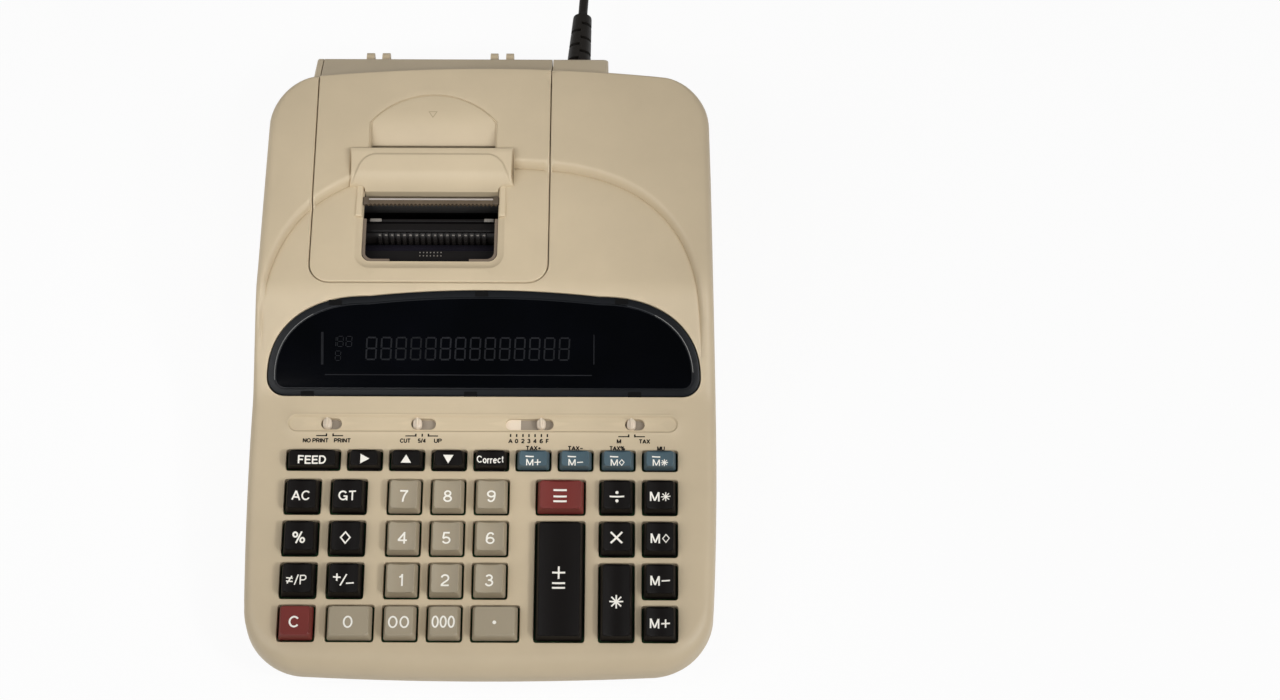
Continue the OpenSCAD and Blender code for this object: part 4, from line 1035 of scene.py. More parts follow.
def build_hood():
    """Hood over the tear bar, with two wings beside a notch for the window."""
    half, notch = HOOD_HALF, NOTCH_HALF
    y0, y1 = HOOD_Y
    right = np.linspace(WING_Y, y1, 16)
    corner = [[notch + out, WING_Y - ahead] for out, ahead in WING_CORNER]
    outer = np.concatenate([
        stack(half, right), stack(np.linspace(half, -half, 60)[1:-1], y1), stack(-half, right[::-1]),
        np.array(corner[::-1]) * np.array([-1, 1]), stack(np.linspace(-notch, notch, 48), y0), corner])
    outer = outer + np.array([PRINTER_X, 0])
    lines = []
    for e in lip_steps(HOOD_LIP)[1:]:
        x0, x1 = PRINTER_X - half + e, PRINTER_X + half - e
        lines.append(np.array([[x1, WING_Y + 0.3], [x1, y1 - e], [x0, y1 - e], [x0, WING_Y + 0.3]]))
    panel = panel_line()
    for e in PANEL_PLACES:
        path = panel - e * outward(panel)
        lines.extend(clip_runs(path, inside(path, grow(outer, -1.0))))
    spots = grid(PRINTER_X - half + 1, PRINTER_X + half, y0 + 0.5, y1, HOOD_STEP, HOOD_STEP, HOOD_ROOM)
    spots = kept(spots, lambda p: inside(p, outer))
    spots = kept(spots, lambda p: np.abs(panel_distance(*p.T) + PANEL_BAND[0]) > PANEL_BAND[1])
    co, tris, _ = triangulate(outer, [], lines, spots)
    build = Build()
    thick_sheet(build, co, tris, hood_z, HOOD_T)
    return build


upper_case = build_upper_case().make("upper_case_shell", [M_CASE], "base")
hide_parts("upper_case")
cover = build_cover().make("printer_cover_shell", [M_CASE], "cover")
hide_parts("printer_cover")
hood = build_hood().make("printer_hood", [M_CASE], "cover")


# Lower case

SHELF_IN = 0.3
SHELF_EDGE = 0.5
SHELF_DROP = 0.4
# Sections of the tray: insets with heights from its rim, then with heights from its base
TRAY_RIM = [(WALL, 0), (0.7, 0), (0.35, -0.35), (0.4, -1.4), (1.2, -2.8)]
TRAY_FOOT = [(6.2, 0.8), (7.2, 0.15), (8.6, 0)]


def build_lower_case():
    """Tray that narrows towards its base, and a shelf under the rear block."""
    line = case_outline(0, 0)[:-1]
    normal = outward(line)
    top = SPLIT_Z - SEAM
    base_z = box_mm("lower_case")[0][2]
    stations = [(inset, top + h) for inset, h in TRAY_RIM] + [(inset, base_z + h) for inset, h in TRAY_FOOT]
    build = Build()
    build.loft([stack(*(line - inset * normal).T, z) for inset, z in stations])
    low, high = SPLIT_Z - WALL, SPLIT_Z - SHELF_DROP
    front, rear = REAR_Y - BLOCK_IN, BLOCK_REAR - SHELF_IN
    shelf = [(front, low), (rear - SHELF_EDGE, low), (rear, low + SHELF_EDGE), (rear, high), (front, high)]
    build.loft([[(x, y, z) for y, z in shelf] for x in (BLOCK_X[0] + SHELF_IN, BLOCK_X[1] - SHELF_IN)])
    return build


lower_case = build_lower_case().make("lower_case_shell", [M_CASE], "base")
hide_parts("lower_case")


# Keys and their legends

def bow(cx, cy, rx, ry, a0, a1, n=14):
    """Points on an elliptic arc, angles in degrees."""
    t = np.radians(np.linspace(a0, a1, n + 1))
    return [(cx + rx * math.cos(a), cy + ry * math.sin(a)) for a in t]


def rule(x0, x1, y):
    """A level stroke of a letter."""
    return [(x0, y), (x1, y)]


def bowl(cx, cy, rx, ry):
    """A bow to the right of a letter's stem, with level ends."""
    return [(BOWL_X, cy + ry)] + bow(cx, cy, rx, ry, 90, -90) + [(BOWL_X, cy - ry)]


# Letters as a width and strokes, with the capitals one unit high
BOWL_X = 0.02
HEAD = 0.935
BASE = 0.065
STEM = [(0.08, 0.0), (0.08, 1.0)]
TWO_TAIL = [(0.4, 0.42), (0.22, 0.28), (0.1, 0.14), (0.08, BASE)]
SIX_TAIL = [
    (0.54, 0.77), (0.49, 0.87), (0.42, 0.92), (0.34, HEAD), (0.25, 0.91), (0.17, 0.83), (0.11, 0.7),
    (0.08, 0.53), (0.07, 0.32)]
SIX = [bow(0.32, 0.3, 0.25, 0.235, 0, 360, 24), SIX_TAIL]
SEVEN_TAIL = [(0.55, 0.93), (0.42, 0.75), (0.32, 0.53), (0.25, 0.28), (0.22, 0.0)]
LETTERS = {
    "0": (0.64, [bow(0.32, 0.5, 0.25, 0.435, 0, 360, 32)]),
    "1": (0.42, [[(0.09, 0.74), (0.2, 0.78), (0.27, 0.86), (0.3, 0.98)], [(0.3, 1.0), (0.3, 0.0)]]),
    "2": (0.64, [bow(0.32, 0.68, 0.24, 0.255, 172, -38) + TWO_TAIL, rule(0.03, 0.59, BASE)]),
    "3": (0.64, [bow(0.31, 0.73, 0.2, 0.205, 160, -90), bow(0.31, 0.295, 0.24, 0.23, 90, -165),
                 rule(0.24, 0.34, 0.525)]),
    "4": (0.64, [[(0.44, 0.0), (0.44, 0.99)], [(0.46, 0.95), (0.05, 0.3)], rule(0.02, 0.61, 0.28)]),
    "5": (0.64, [rule(0.55, 0.12, HEAD), [(0.16, 0.97), (0.09, 0.46)],
                 bow(0.31, 0.31, 0.25, 0.245, 150, -160)]),
    "6": (0.64, SIX),
    "7": (0.62, [rule(0.03, 0.58, HEAD), SEVEN_TAIL]),
    "8": (0.64, [bow(0.32, 0.735, 0.2, 0.2, 0, 360, 24), bow(0.32, 0.285, 0.25, 0.22, 0, 360, 24)]),
    "9": (0.64, [[(0.64 - x, 1 - y) for x, y in part] for part in SIX]),
    "A": (0.72, [[(0.04, 0.0), (0.36, 0.97)], [(0.36, 0.97), (0.68, 0.0)], rule(0.16, 0.56, 0.31)]),
    "C": (0.76, [bow(0.4, 0.5, 0.33, 0.435, 36, 324, 26)]),
    "D": (0.72, [STEM, bowl(0.3, 0.5, 0.34, 0.435)]),
    "E": (0.62, [STEM, rule(BOWL_X, 0.6, HEAD), rule(BOWL_X, 0.56, 0.51), rule(BOWL_X, 0.61, BASE)]),
    "F": (0.58, [STEM, rule(BOWL_X, 0.57, HEAD), rule(BOWL_X, 0.5, 0.5)]),
    "G": (0.78, [bow(0.4, 0.5, 0.33, 0.435, 40, 335, 26), rule(0.44, 0.76, 0.44),
                 [(0.72, 0.47), (0.72, 0.0)]]),
    "I": (0.18, [[(0.09, 0.0), (0.09, 1.0)]]),
    "M": (0.8, [STEM, [(0.1, 0.98), (0.4, 0.06)], [(0.4, 0.06), (0.7, 0.98)], [(0.72, 1.0), (0.72, 0.0)]]),
    "N": (0.72, [STEM, [(0.09, 0.97), (0.63, 0.03)], [(0.64, 0.0), (0.64, 1.0)]]),
    "O": (0.8, [bow(0.4, 0.5, 0.33, 0.435, 0, 360, 30)]),
    "P": (0.66, [STEM, bowl(0.38, 0.7, 0.22, 0.235)]),
    "R": (0.7, [STEM, bowl(0.4, 0.71, 0.22, 0.225), [(0.4, 0.48), (0.64, 0.0)]]),
    "T": (0.66, [rule(0.02, 0.64, HEAD), [(0.33, 0.96), (0.33, 0.0)]]),
    "U": (0.7, [[(0.08, 1.0)] + bow(0.35, 0.33, 0.27, 0.265, 180, 360) + [(0.62, 1.0)]]),
    "X": (0.7, [[(0.05, 0.0), (0.65, 1.0)], [(0.05, 1.0), (0.65, 0.0)]]),
    "c": (0.52, [bow(0.27, 0.36, 0.2, 0.3, 42, 318, 22)]),
    "e": (0.56, [rule(0.07, 0.49, 0.37), bow(0.28, 0.36, 0.21, 0.3, 3, 318, 24)]),
    "o": (0.56, [bow(0.28, 0.36, 0.21, 0.3, 0, 360, 24)]),
    "r": (0.34, [[(0.07, 0.0), (0.07, 0.72)], [(0.07, 0.42), (0.11, 0.56), (0.2, 0.645), (0.33, 0.65)]]),
    "t": (0.32, [[(0.14, 0.9), (0.14, 0.16), (0.18, 0.08), (0.3, 0.06)], rule(0.0, 0.3, 0.65)]),
    "%": (0.9, [bow(0.2, 0.74, 0.14, 0.2, 0, 360, 22), bow(0.7, 0.26, 0.14, 0.2, 0, 360, 22),
                [(0.26, -0.02), (0.64, 1.02)]]),
    "/": (0.4, [[(0.04, -0.04), (0.36, 1.04)]]),
    "≠": (0.66, [rule(0.03, 0.63, 0.3), rule(0.03, 0.63, 0.64), [(0.12, 0.06), (0.54, 0.88)]]),
    "+": (0.6, [rule(0.03, 0.57, 0.45), [(0.3, 0.18), (0.3, 0.72)]]),
    "−": (0.6, [rule(0.03, 0.57, 0.45)]),
    " ": (0.2, []),
}
LETTER_GAP = 0.09
MITRE_LEAST = 0.6
STROKE_STEP = 1.5


def put_ribbon(build, middle, side, surface, number):
    """A printed ribbon laid on a surface, to both sides of its middle line."""
    low, top = [build.add(surface(*(middle + way * side).T)) for way in (-1, 1)]
    for i in range(len(middle) - 1):
        build.face((low[i], low[i + 1], top[i + 1], top[i]), number)


def put_line(build, points, width, surface, number=1):
    """A stroke of even width along a line of points, mitred at its turns."""
    p = np.array(points, float)
    step = unit(np.diff(p, axis=0))
    loop = np.linalg.norm(p[0] - p[-1]) < 1e-6
    before = np.concatenate([step[-1:] if loop else step[:1], step])
    after = np.concatenate([step, step[:1] if loop else step[-1:]])
    side = unit(left_of(before + after))
    reach = np.clip((side * left_of(after)).sum(1), MITRE_LEAST, 1)
    put_ribbon(build, p, side * (width / 2 / reach)[:, None], surface, number)


def put_stroke(build, a, b, width, surface, number=1):
    """A printed stroke between two points, cut so that it follows the surface."""
    a, b = np.array(a, float), np.array(b, float)
    length = np.linalg.norm(b - a)
    along = (b - a) / length
    side = np.array([-along[1], along[0]]) * width / 2
    steps = np.linspace(0, 1, max(1, int(length / STROKE_STEP)) + 1)
    put_ribbon(build, a + (b - a) * steps[:, None], side, surface, number)


def put_text(build, text, at, height, surface, number, width, weight=0.14):
    """A string laid on a surface, width wide and with its capitals height high."""
    total = sum(LETTERS[c][0] for c in text) + LETTER_GAP * (len(text) - 1)
    across = width / total
    x = -total / 2
    for c in text:
        wide, strokes = LETTERS[c]
        for line in strokes:
            points = [(at[0] + (x + a) * across, at[1] + (b - 0.5) * height) for a, b in line]
            if len(points) == 2:
                put_stroke(build, points[0], points[1], weight * height, surface, number)
            else:
                put_line(build, points, weight * height, surface, number)
        x += wide + LETTER_GAP


def put_shape(build, points, at, surface):
    """A flat printed polygon."""
    build.face(build.add(surface(*(points + at).T)), 1)


def put_bar(build, at, w, h, surface):
    put_stroke(build, (at[0] - w / 2, at[1]), (at[0] + w / 2, at[1]), h, surface)


def put_cross(build, at, size, width, arms, turn, surface):
    """Strokes through one point: a plus, a times sign or a star."""
    for k in range(arms):
        a = math.radians(turn + 180 * k / arms)
        v = np.array([math.cos(a), math.sin(a)]) * size / 2
        put_stroke(build, at - v, at + v, width, surface)


DIAMOND_W = 0.8
DIAMOND_LINE = 2.4
SLASH_LEAN = np.array([0.26, 0.5])


def put_diamond(build, at, h, width, surface):
    """An open diamond."""
    w = h * DIAMOND_W
    corners = np.array([[w / 2, 0], [0, h / 2], [-w / 2, 0], [0, -h / 2]])
    outer = build.add(surface(*(corners + at).T))
    inner = build.add(surface(*(corners * (1 - DIAMOND_LINE * width / w) + at).T))
    for i in range(4):
        j = (i + 1) % 4
        build.face((outer[i], outer[j], inner[j], inner[i]), 1)


def put_dot(build, at, r, surface):
    put_shape(build, arc(0, 0, r, 0, 360, 20)[:-1], at, surface)


def put_legend(build, legend, surface):
    """One part of a key's legend: its kind, its place and its size."""
    kind, x, y, size = legend[:4]
    at = np.array([x, y], float)
    if kind == "bar":
        put_bar(build, at, size, legend[4], surface)
    elif kind == "plus":
        put_cross(build, at, size, legend[4], 2, 0, surface)
    elif kind == "times":
        put_cross(build, at, size, legend[4], 2, 45, surface)
    elif kind == "star":
        put_cross(build, at, size, legend[4], 4, 0, surface)
    elif kind == "diamond":
        put_diamond(build, at, size, legend[4], surface)
    elif kind == "dot":
        put_dot(build, at, size, surface)
    elif kind == "slash":
        put_stroke(build, at - SLASH_LEAN * size, at + SLASH_LEAN * size, legend[4], surface)
    elif kind == "arrow":
        turn = np.radians(np.array([0, 120, 240]) + legend[4])
        put_shape(build, stack(np.cos(turn), np.sin(turn)) * size, at, surface)
    else:
        put_text(build, kind, at, size, surface, 1, *legend[4:])


KEY_H = 5.3
KEY_TAPER = 1.15
KEY_FRONT_TAPER = 1.2
LOW_FRONT_TAPER = 0.45
LOW_KEY_D = 12
LEGEND_DROP = 0.75
KEY_SKIRT = 1.2
DISH_D = 1.75
EDGE_R = 0.38
FLAT_TOPS = ("key_clear", "key_0", "key_00", "key_000", "key_point")
PRINT_GAP = 0.05

DIGIT = 5.9
DIGIT_W = 4.35
DIGIT_WIDTHS = {"1": 2.7, "4": DIGIT_W + 0.3}
MEMORY = 4.7
STORE = 3.3
STORE_DROP = -1.05
BOLD = 0.16
EQUALS = 0.9


def store_legend(x, sign, sign_x, size, width):
    """Legend of a store key: a letter with a bar over it, and a sign."""
    return [("M", x, STORE_DROP, STORE, 3.7, BOLD), (sign, sign_x, STORE_DROP, size, width),
            ("bar", x - 0.1, 1.9, 4.0, 0.65)]


def memory_legend(x, wide, *sign):
    """Legend of a memory key: a letter and a sign."""
    return [("M", x, 0, MEMORY, wide, BOLD), sign]


LEGENDS = {
    "key_feed": [("FEED", -0.2, -0.1, 4.1, 13.6, 0.19)],
    "key_replay": [("arrow", -0.4, 0.5, 2.9, 0)],
    "key_step_up": [("arrow", -0.2, -0.1, 2.9, 90)],
    "key_step_down": [("arrow", -0.2, 1.1, 2.9, 270)],
    "key_correct": [("Correct", -0.2, 0.1, 3.5, 13.0, 0.15)],
    "key_store_plus": store_legend(-1.6, "plus", 2.2, 3.1, 0.55),
    "key_store_minus": store_legend(-1.6, "bar", 2.3, 2.9, 0.55),
    "key_store_subtotal": store_legend(-1.6, "diamond", 2.0, 3.6, 0.42),
    "key_store_total": store_legend(-1.7, "star", 2.2, 3.5, 0.42),
    "key_all_clear": [("AC", -0.3, 0.1, 4.8, 8.8, BOLD)],
    "key_grand_total": [("GT", -0.3, 0.1, 4.8, 8.5, BOLD)],
    "key_minus_equals": [("bar", -0.2, y, 6.4, 0.95) for y in (3.2, 0, -2.45)],
    "key_divide": [("bar", 0, 0, 7.0, 0.8), ("dot", 0, 2.1, 0.78), ("dot", 0, -2.1, 0.78)],
    "key_memory_total": memory_legend(-2.5, 4.9, "star", 2.8, 0, 4.5, 0.5),
    "key_percent": [("%", -0.3, 0, 5.6, 6.2, 0.15)],
    "key_subtotal": [("diamond", -0.3, 0, 6.7, 0.75)],
    "key_plus_equals": [
        (sign, -0.3, y, 6.2, EQUALS) for sign, y in (("plus", 3.9), ("bar", -1.3), ("bar", -3.6))],
    "key_multiply": [("times", -0.1, 0.4, 7.8, 0.95)],
    "key_memory_subtotal": memory_legend(-2.2, 4.7, "diamond", 2.9, 0, 4.7, 0.5),
    "key_number_print": [("≠/P", -0.4, 0, 4.7, 9.8, 0.13)],
    "key_sign": [
        ("plus", -3.4, 1.2, 3.6, 0.75), ("slash", -0.3, 0, 5.6, 0.72), ("bar", 2.9, -1.7, 3.8, 0.72)],
    "key_total": [("star", 0, 0.2, 6.6, 0.75)],
    "key_memory_minus": memory_legend(-2.3, 4.7, "bar", 2.8, 0, 4.0, 0.72),
    "key_clear": [("C", -0.3, 0, 5.5, 4.9, BOLD)],
    "key_0": [("0", -0.3, 0, DIGIT, 4.8)],
    "key_00": [("00", -0.2, 0, DIGIT, 10.2)],
    "key_000": [("000", -0.1, 0.2, DIGIT, 10.9)],
    "key_point": [("dot", 0, 0, 0.9)],
    "key_memory_plus": memory_legend(-2.5, 4.7, "plus", 2.7, 0, 4.1, 0.75),
}
for digit in "123456789":
    LEGENDS["key_" + digit] = [(digit, 0, 0, DIGIT, DIGIT_WIDTHS.get(digit, DIGIT_W))]
KEY_SLOTS = {"key_black": M_BLACK, "key_grey": M_GREY, "key_red": M_RED, "key_blue": M_BLUE}
slot_of = {p["node"]: p["material_slot"] for p in frame["record"]["subparts"]}


def divide(outline, parts):
    """An outline with its long level edges split, so that they can follow a dish."""
    points = []
    for p, q in zip(outline, np.roll(outline, -1, 0)):
        level = abs(q[0] - p[0]) > 4 and abs(q[1] - p[1]) < 0.01
        points.extend(p + (q - p) * k / parts for k in range(parts if level else 1))
    return np.array(points)


# Rings of a cap's sides as shares of its height, and the turns of its rounded edge
SIDE_SHARES = (0.0, 0.3, 0.6, 0.86)
EDGE_TURNS = np.radians([0, 22, 45, 68, 90])
FLAT_DROP = 0.2
FOOT_EDGE = 0.5
FOOT_RISE = 0.2
# Corner radii of a cap: at the foot's edge, at the foot, gained up the side, at the edge and on the top
CAP_R = (0.8, 1.0, 0.6, 1.7, 1.2)
CAP_R_LEAST = 0.6


def build_key(node):
    """Key cap with tapered sides, a rounded edge, a dished or flat top and its legend."""
    x_lo, s_lo, x_hi, s_hi = cap_box(node)
    w, d = x_hi - x_lo, s_hi - s_lo
    cx, cs = (x_lo + x_hi) / 2, (s_lo + s_hi) / 2
    taper = KEY_FRONT_TAPER if d > LOW_KEY_D else LOW_FRONT_TAPER
    build = Build()

    def dish(x):
        if node in FLAT_TOPS:
            return np.full(np.shape(x), KEY_H - FLAT_DROP)
        share = np.minimum(1, np.abs(x) / (w / 2 - KEY_TAPER))
        return KEY_H - DISH_D * (1 - share ** 2)

    def outline(side, front, r):
        """Outline of the cap, drawn in at its sides and back, and at its front."""
        return divide(round_rect(side - w / 2, front - d / 2, w / 2 - side, d / 2 - side, r, 5), 14)

    def place(points, h):
        return deck_point(cx + points[:, 0], cs + points[:, 1], h)

    foot_r, side_r, gain_r, edge_r, top_r = CAP_R
    rings = [place(outline(FOOT_EDGE, FOOT_EDGE, foot_r), -KEY_SKIRT)]
    rings.append(place(outline(0, 0, side_r), -KEY_SKIRT + FOOT_RISE))
    for k in SIDE_SHARES:
        rings.append(place(outline(KEY_TAPER * k, taper * k, side_r + gain_r * k), KEY_H * k))
    for a in EDGE_TURNS:
        out = EDGE_R * (1 - math.sin(a))
        inset = EDGE_R * (1 - math.cos(a))
        o = outline(KEY_TAPER + inset, taper + inset, max(edge_r - inset, CAP_R_LEAST))
        rings.append(place(o, dish(o[:, 0]) - out))
    ids = [build.add(r) for r in rings]
    for a, b in zip(ids, ids[1:]):
        build.bridge(a, b)
    build.face(ids[0][::-1])
    top = outline(KEY_TAPER + EDGE_R, taper + EDGE_R, top_r)
    lo, hi = top.min(0), top.max(0)
    middle, span = (lo + hi) / 2, hi - lo
    spots = grid(lo[0], hi[0], lo[1] + 0.9, hi[1], span[0] / 12, span[1] / 4, 0.7)
    co, tris, _ = triangulate(top, [], [], kept(spots, lambda p: inside(p, top)))
    flat = build.add(place(co, dish(co[:, 0])))
    for t in tris:
        build.face([flat[i] for i in t])

    def surface(x, y):
        x, y = x + middle[0], y - LEGEND_DROP + middle[1]
        return deck_point(cx + x, cs + y, dish(x) + PRINT_GAP)

    for legend in LEGENDS[node]:
        put_legend(build, legend, surface)
    return build


for node in KEYS:
    cap = build_key(node).make(node + "_cap", [KEY_SLOTS[slot_of[node]], M_WHITE], node, 40, False)
    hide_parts(node)


# Printing on the deck and the plates in the slide slots

TICK_S = (117.8, 119.6)
PRINT_SHIFT = 0.55
LABEL_S = 115.35
LABEL_H = 2.05
KEY_LABEL_S = 111.75
LABELS = [
    ("NO PRINT", -81.85, 12.4), ("PRINT", -68.85, 8.1), ("CUT", -38.2, 5.0), ("5/4", -30.1, 3.8),
    ("UP", -22.3, 3.7), ("A", 13.09, 1.9), ("0", 16.06, 1.5), ("2", 19.13, 1.5), ("3", 22.05, 1.5),
    ("4", 25.03, 1.6), ("6", 28.1, 1.5), ("F", 31.02, 1.3), ("M", 65.95, 2.1), ("TAX", 78.4, 5.3)]
KEY_LABELS = [("TAX+", 24.36, 7.3), ("TAX−", 44.8, 7.3), ("TAX%", 65.1, 7.4), ("MU", 86.4, 3.6)]
LABEL_WEIGHT = 0.26
TICKS = (
    -76.69, -73.47, -33.12, -30.0, -26.98, 13.09, 16.06, 19.13, 22.05, 25.03, 28.1, 31.02, 70.69, 73.67)
BRACKETS = [
    (-81.7, -76.69), (-73.47, -68.55), (-38.2, -33.12), (-26.98, -22.3), (65.6, 70.69), (73.67, 78.6)]
PRINT_LINE = 0.72
BRACKET_LINE = PRINT_LINE * 0.8
PLATE_H = -2.7
PLATE_T = 0.4
PLATE_FIT = 0.02
CREAM_T = 0.6
DECIMAL_SLOT = 2
PLATE_SHARE = 0.32


def deck_print(x, s):
    return deck_point(x + PRINT_SHIFT, s, PRINT_GAP)


def build_deck_print():
    """Labels, ticks and brackets round the slide slots, and labels over the keys."""
    build = Build()
    for s, labels in ((LABEL_S, LABELS), (KEY_LABEL_S, KEY_LABELS)):
        for text, x, width in labels:
            put_text(build, text, (x, s), LABEL_H, deck_print, 0, width, LABEL_WEIGHT)
    for x in TICKS:
        put_stroke(build, (x, TICK_S[0] - PRINT_LINE / 2), (x, TICK_S[1]), PRINT_LINE, deck_print, 0)
    for x0, x1 in BRACKETS:
        put_stroke(build, (x0, TICK_S[0]), (x1, TICK_S[0]), BRACKET_LINE, deck_print, 0)
    return build


labels = build_deck_print().make("deck_print", [M_PRINT], "base", 32, False)

MARK_AT = (PRINTER_X - 0.5, SCOOP_END - 11.0)
MARK_SIZE = (4.0, 3.0)
MARK_LINE = 0.45


def build_mark():
    """Small triangle in the scoop that points to the paper slot, drawn in a darker copy of the case colour that
    paints the shade of its embossing.
    """
    build = Build()
    w, h = MARK_SIZE[0] / 2, MARK_SIZE[1] / 2
    line = [(MARK_AT[0] + x, MARK_AT[1] + y) for x, y in ((-w, h), (0, -h), (w, h), (-w, h))]

    def surface(x, y):
        return stack(x, y, cover_z(x, y) + PRINT_GAP)

    put_line(build, line, MARK_LINE, surface, 0)
    return build


mark = build_mark().make("scoop_mark", [M_MARK_SHADE], "cover", 32, False)


def build_plates():
    """Plates seen in the slots: cream at the left of the third, and elsewhere grey, the case colour painted darker
    as the shade down in the slots.
    """
    build = Build()
    for k, (x0, s0, x1, s1) in enumerate(slots):
        e = PLATE_FIT
        outline = round_rect(x0 + e, s0 + e, x1 - e, s1 - e, SLOT_HALF - 0.1, 8)
        build.loft([deck_point(*outline.T, h) for h in (PLATE_H - PLATE_T, PLATE_H)])
        if k == DECIMAL_SLOT:
            outline[:, 0] = np.minimum(outline[:, 0], x0 + PLATE_SHARE * (x1 - x0))
            build.loft([deck_point(*outline.T, h) for h in (PLATE_H, PLATE_H + CREAM_T)], 1)
    return build


plates = build_plates().make("slot_plates", [M_SLOT_SHADE, M_KNOB], "base")


# Slide knobs

KNOB_FOOT = PLATE_H + 0.7
KNOB_FLOOR = -1.7
KNOB_HALF = (2.2, 2.8)
KNOB_R = 2.1
# Rounded top of a knob as insets and heights over its floor, and its ridge as half widths and heights
KNOB_TOP = [(0, 1.6), (0.25, 2.3), (0.8, 2.7), (1.5, 2.8)]
RIDGE = [(0.75, 2.2), (0.55, 3.2), (0.3, 3.6)]
RIDGE_HALF = 2.55


def build_knob(node):
    """Round-ended knob with a cross ridge."""
    lo, hi = deck_box(node)
    cx = (lo[0] + hi[0]) / 2
    build = Build()

    def ring(x, y, r, steps, h):
        o = round_rect(-x, -y, x, y, r, steps)
        return deck_point(cx + o[:, 0], STRIP_S + o[:, 1], h)

    x, y = KNOB_HALF
    sections = [(0, KNOB_FOOT)] + [(e, KNOB_FLOOR + h) for e, h in KNOB_TOP]
    build.loft([ring(x - e, y - e, KNOB_R - e, 8, h) for e, h in sections])
    build.loft([ring(half, RIDGE_HALF, min(half, 0.5), 4, KNOB_FLOOR + h) for half, h in RIDGE])
    return build


for node in KNOBS:
    knob = build_knob(node).make(node + "_cap", [M_KNOB], node, 40)
    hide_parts(node)


# Display lens

LENS_SECTIONS = [
    (-0.2, -2.0), (-0.2, -0.5), (-0.45, -0.15), (-1.0, 0.0), (-3.4, 0.05), (-3.7, 0.35), (-4.3, 0.4)]
# The bevel is the band after this section; above a height it carries a painted highlight, bright or dim by how
# steeply its edge runs
BEVEL_BAND = 4
HIGHLIGHT_FROM = 8
HIGHLIGHT_DIM = 0.16
HIGHLIGHT_BRIGHT = 0.45
FACE_H = 0.42
SEGMENTS = "abcdefg"
SEGMENT_LEAN = 0.05
SEGMENT_LINE = 0.075
SEGMENT_GAP = 0.35
DIGIT_PITCH = 7.28
DIGIT_SIZE = (4.7, 10.7)
DIGIT_FROM = -55.2
DIGIT_V = 22.5
DIGITS = 14
# Small signs at the left of the digits: across, over the digits' middle, size and segments
SIGNS = [
    (-74.0, 3.4, (2.8, 5.0), "bc"), (-70.4, 3.4, (2.8, 5.0), SEGMENTS), (-66.2, 3.4, (2.8, 5.0), SEGMENTS),
    (-71.6, -3.6, (2.6, 4.6), SEGMENTS)]
# Lines of the tube's frame: two ends and a width
TUBE_LINES = [
    ((-79.3, 14.5), (-79.3, 30.5), 1.2), ((-78.0, 9.6), (53.0, 9.6), 0.5),
    ((54.0, 15.0), (54.0, 29.5), 0.5)]
CORNERS = [(-1, -1), (1, -1), (1, 1), (-1, 1)]
TABS_TOP = (-73.0, -1.2, 67.5)
TABS_FOOT = (-86.5, -6.5, 74.0)
TAB_HALF = (3.2, 1.3)
TAB_H = (-1.0, 0.3)
TAB_TOP_IN = 1.9
TAB_FOOT_IN = 1.2


def put_segments(build, at, size, surface, which):
    """Some of the unlit segments of one digit."""
    w, h = size[0] / 2, size[1] / 2
    ends = {
        "a": ((-w, h), (w, h)), "b": ((w, h), (w, 0)), "c": ((w, 0), (w, -h)), "d": ((-w, -h), (w, -h)),
        "e": ((-w, 0), (-w, -h)), "f": ((-w, h), (-w, 0)), "g": ((-w, 0), (w, 0))}
    for k in which:
        p, q = np.array(ends[k])
        v = (q - p) / np.linalg.norm(q - p) * SEGMENT_GAP
        p, q = [e + np.array([e[1] * SEGMENT_LEAN, 0]) + at for e in (p + v, q - v)]
        put_stroke(build, p, q, SEGMENT_LINE * size[1], surface, 4)


def build_lens():
    """Smoked plate with a bevelled rim whose upper bevel carries a painted highlight, its clips, and the unlit
    display behind it drawn on the face.
    """
    build = Build()
    ids = [build.add(slope_point(*lens_outline(g).T, n)) for g, n in LENS_SECTIONS]
    o = lens_outline(0)
    t = np.roll(o, -1, 0) - o
    across = np.abs(t[:, 1]) / np.maximum(np.linalg.norm(t, axis=1), 1e-9)
    upper = o[:, 1] > HIGHLIGHT_FROM
    for k, (a, b) in enumerate(zip(ids, ids[1:])):
        for i in range(len(a)):
            j = (i + 1) % len(a)
            number = 1
            # Painted highlight: upper bevel faces get a bright or dim grey instead of the rim's black.
            if k == BEVEL_BAND and upper[i] and across[i] > HIGHLIGHT_DIM:
                number = 2 if across[i] > HIGHLIGHT_BRIGHT else 3
            build.face((a[i], a[j], b[j], b[i]), number)
    build.face(ids[0][::-1], 1)
    build.face(ids[-1], 0)

    def face_at(x, v):
        return slope_point(x, v, FACE_H)

    for k in range(DIGITS):
        at = np.array([DIGIT_FROM + k * DIGIT_PITCH, DIGIT_V])
        put_segments(build, at, DIGIT_SIZE, face_at, SEGMENTS)
    for x, v, size, which in SIGNS:
        put_segments(build, np.array([x, DIGIT_V + v]), size, face_at, which)
    for a, b, width in TUBE_LINES:
        put_stroke(build, a, b, width, face_at, 4)
    edge = o[o[:, 1] > LENS_H / 2]
    edge = edge[np.argsort(edge[:, 0])]
    tabs = [(x, float(np.interp(x, edge[:, 0], edge[:, 1])) - TAB_TOP_IN) for x in TABS_TOP]
    tabs += [(x, TAB_FOOT_IN - LENS_LOW) for x in TABS_FOOT]
    w, h = TAB_HALF
    for x, v in tabs:
        build.loft([[slope_point(x + i * w, v + j * h, n) for i, j in CORNERS] for n in TAB_H], 5)
    return build


LENS_MATERIALS = [M_LENS, M_RIM, M_BEVEL_GLINT, M_BEVEL_DIM_GLINT, M_SEGMENT, M_TAB]
lens = build_lens().make("display_lens_plate", LENS_MATERIALS, "base", 32, False)
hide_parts("display_lens")

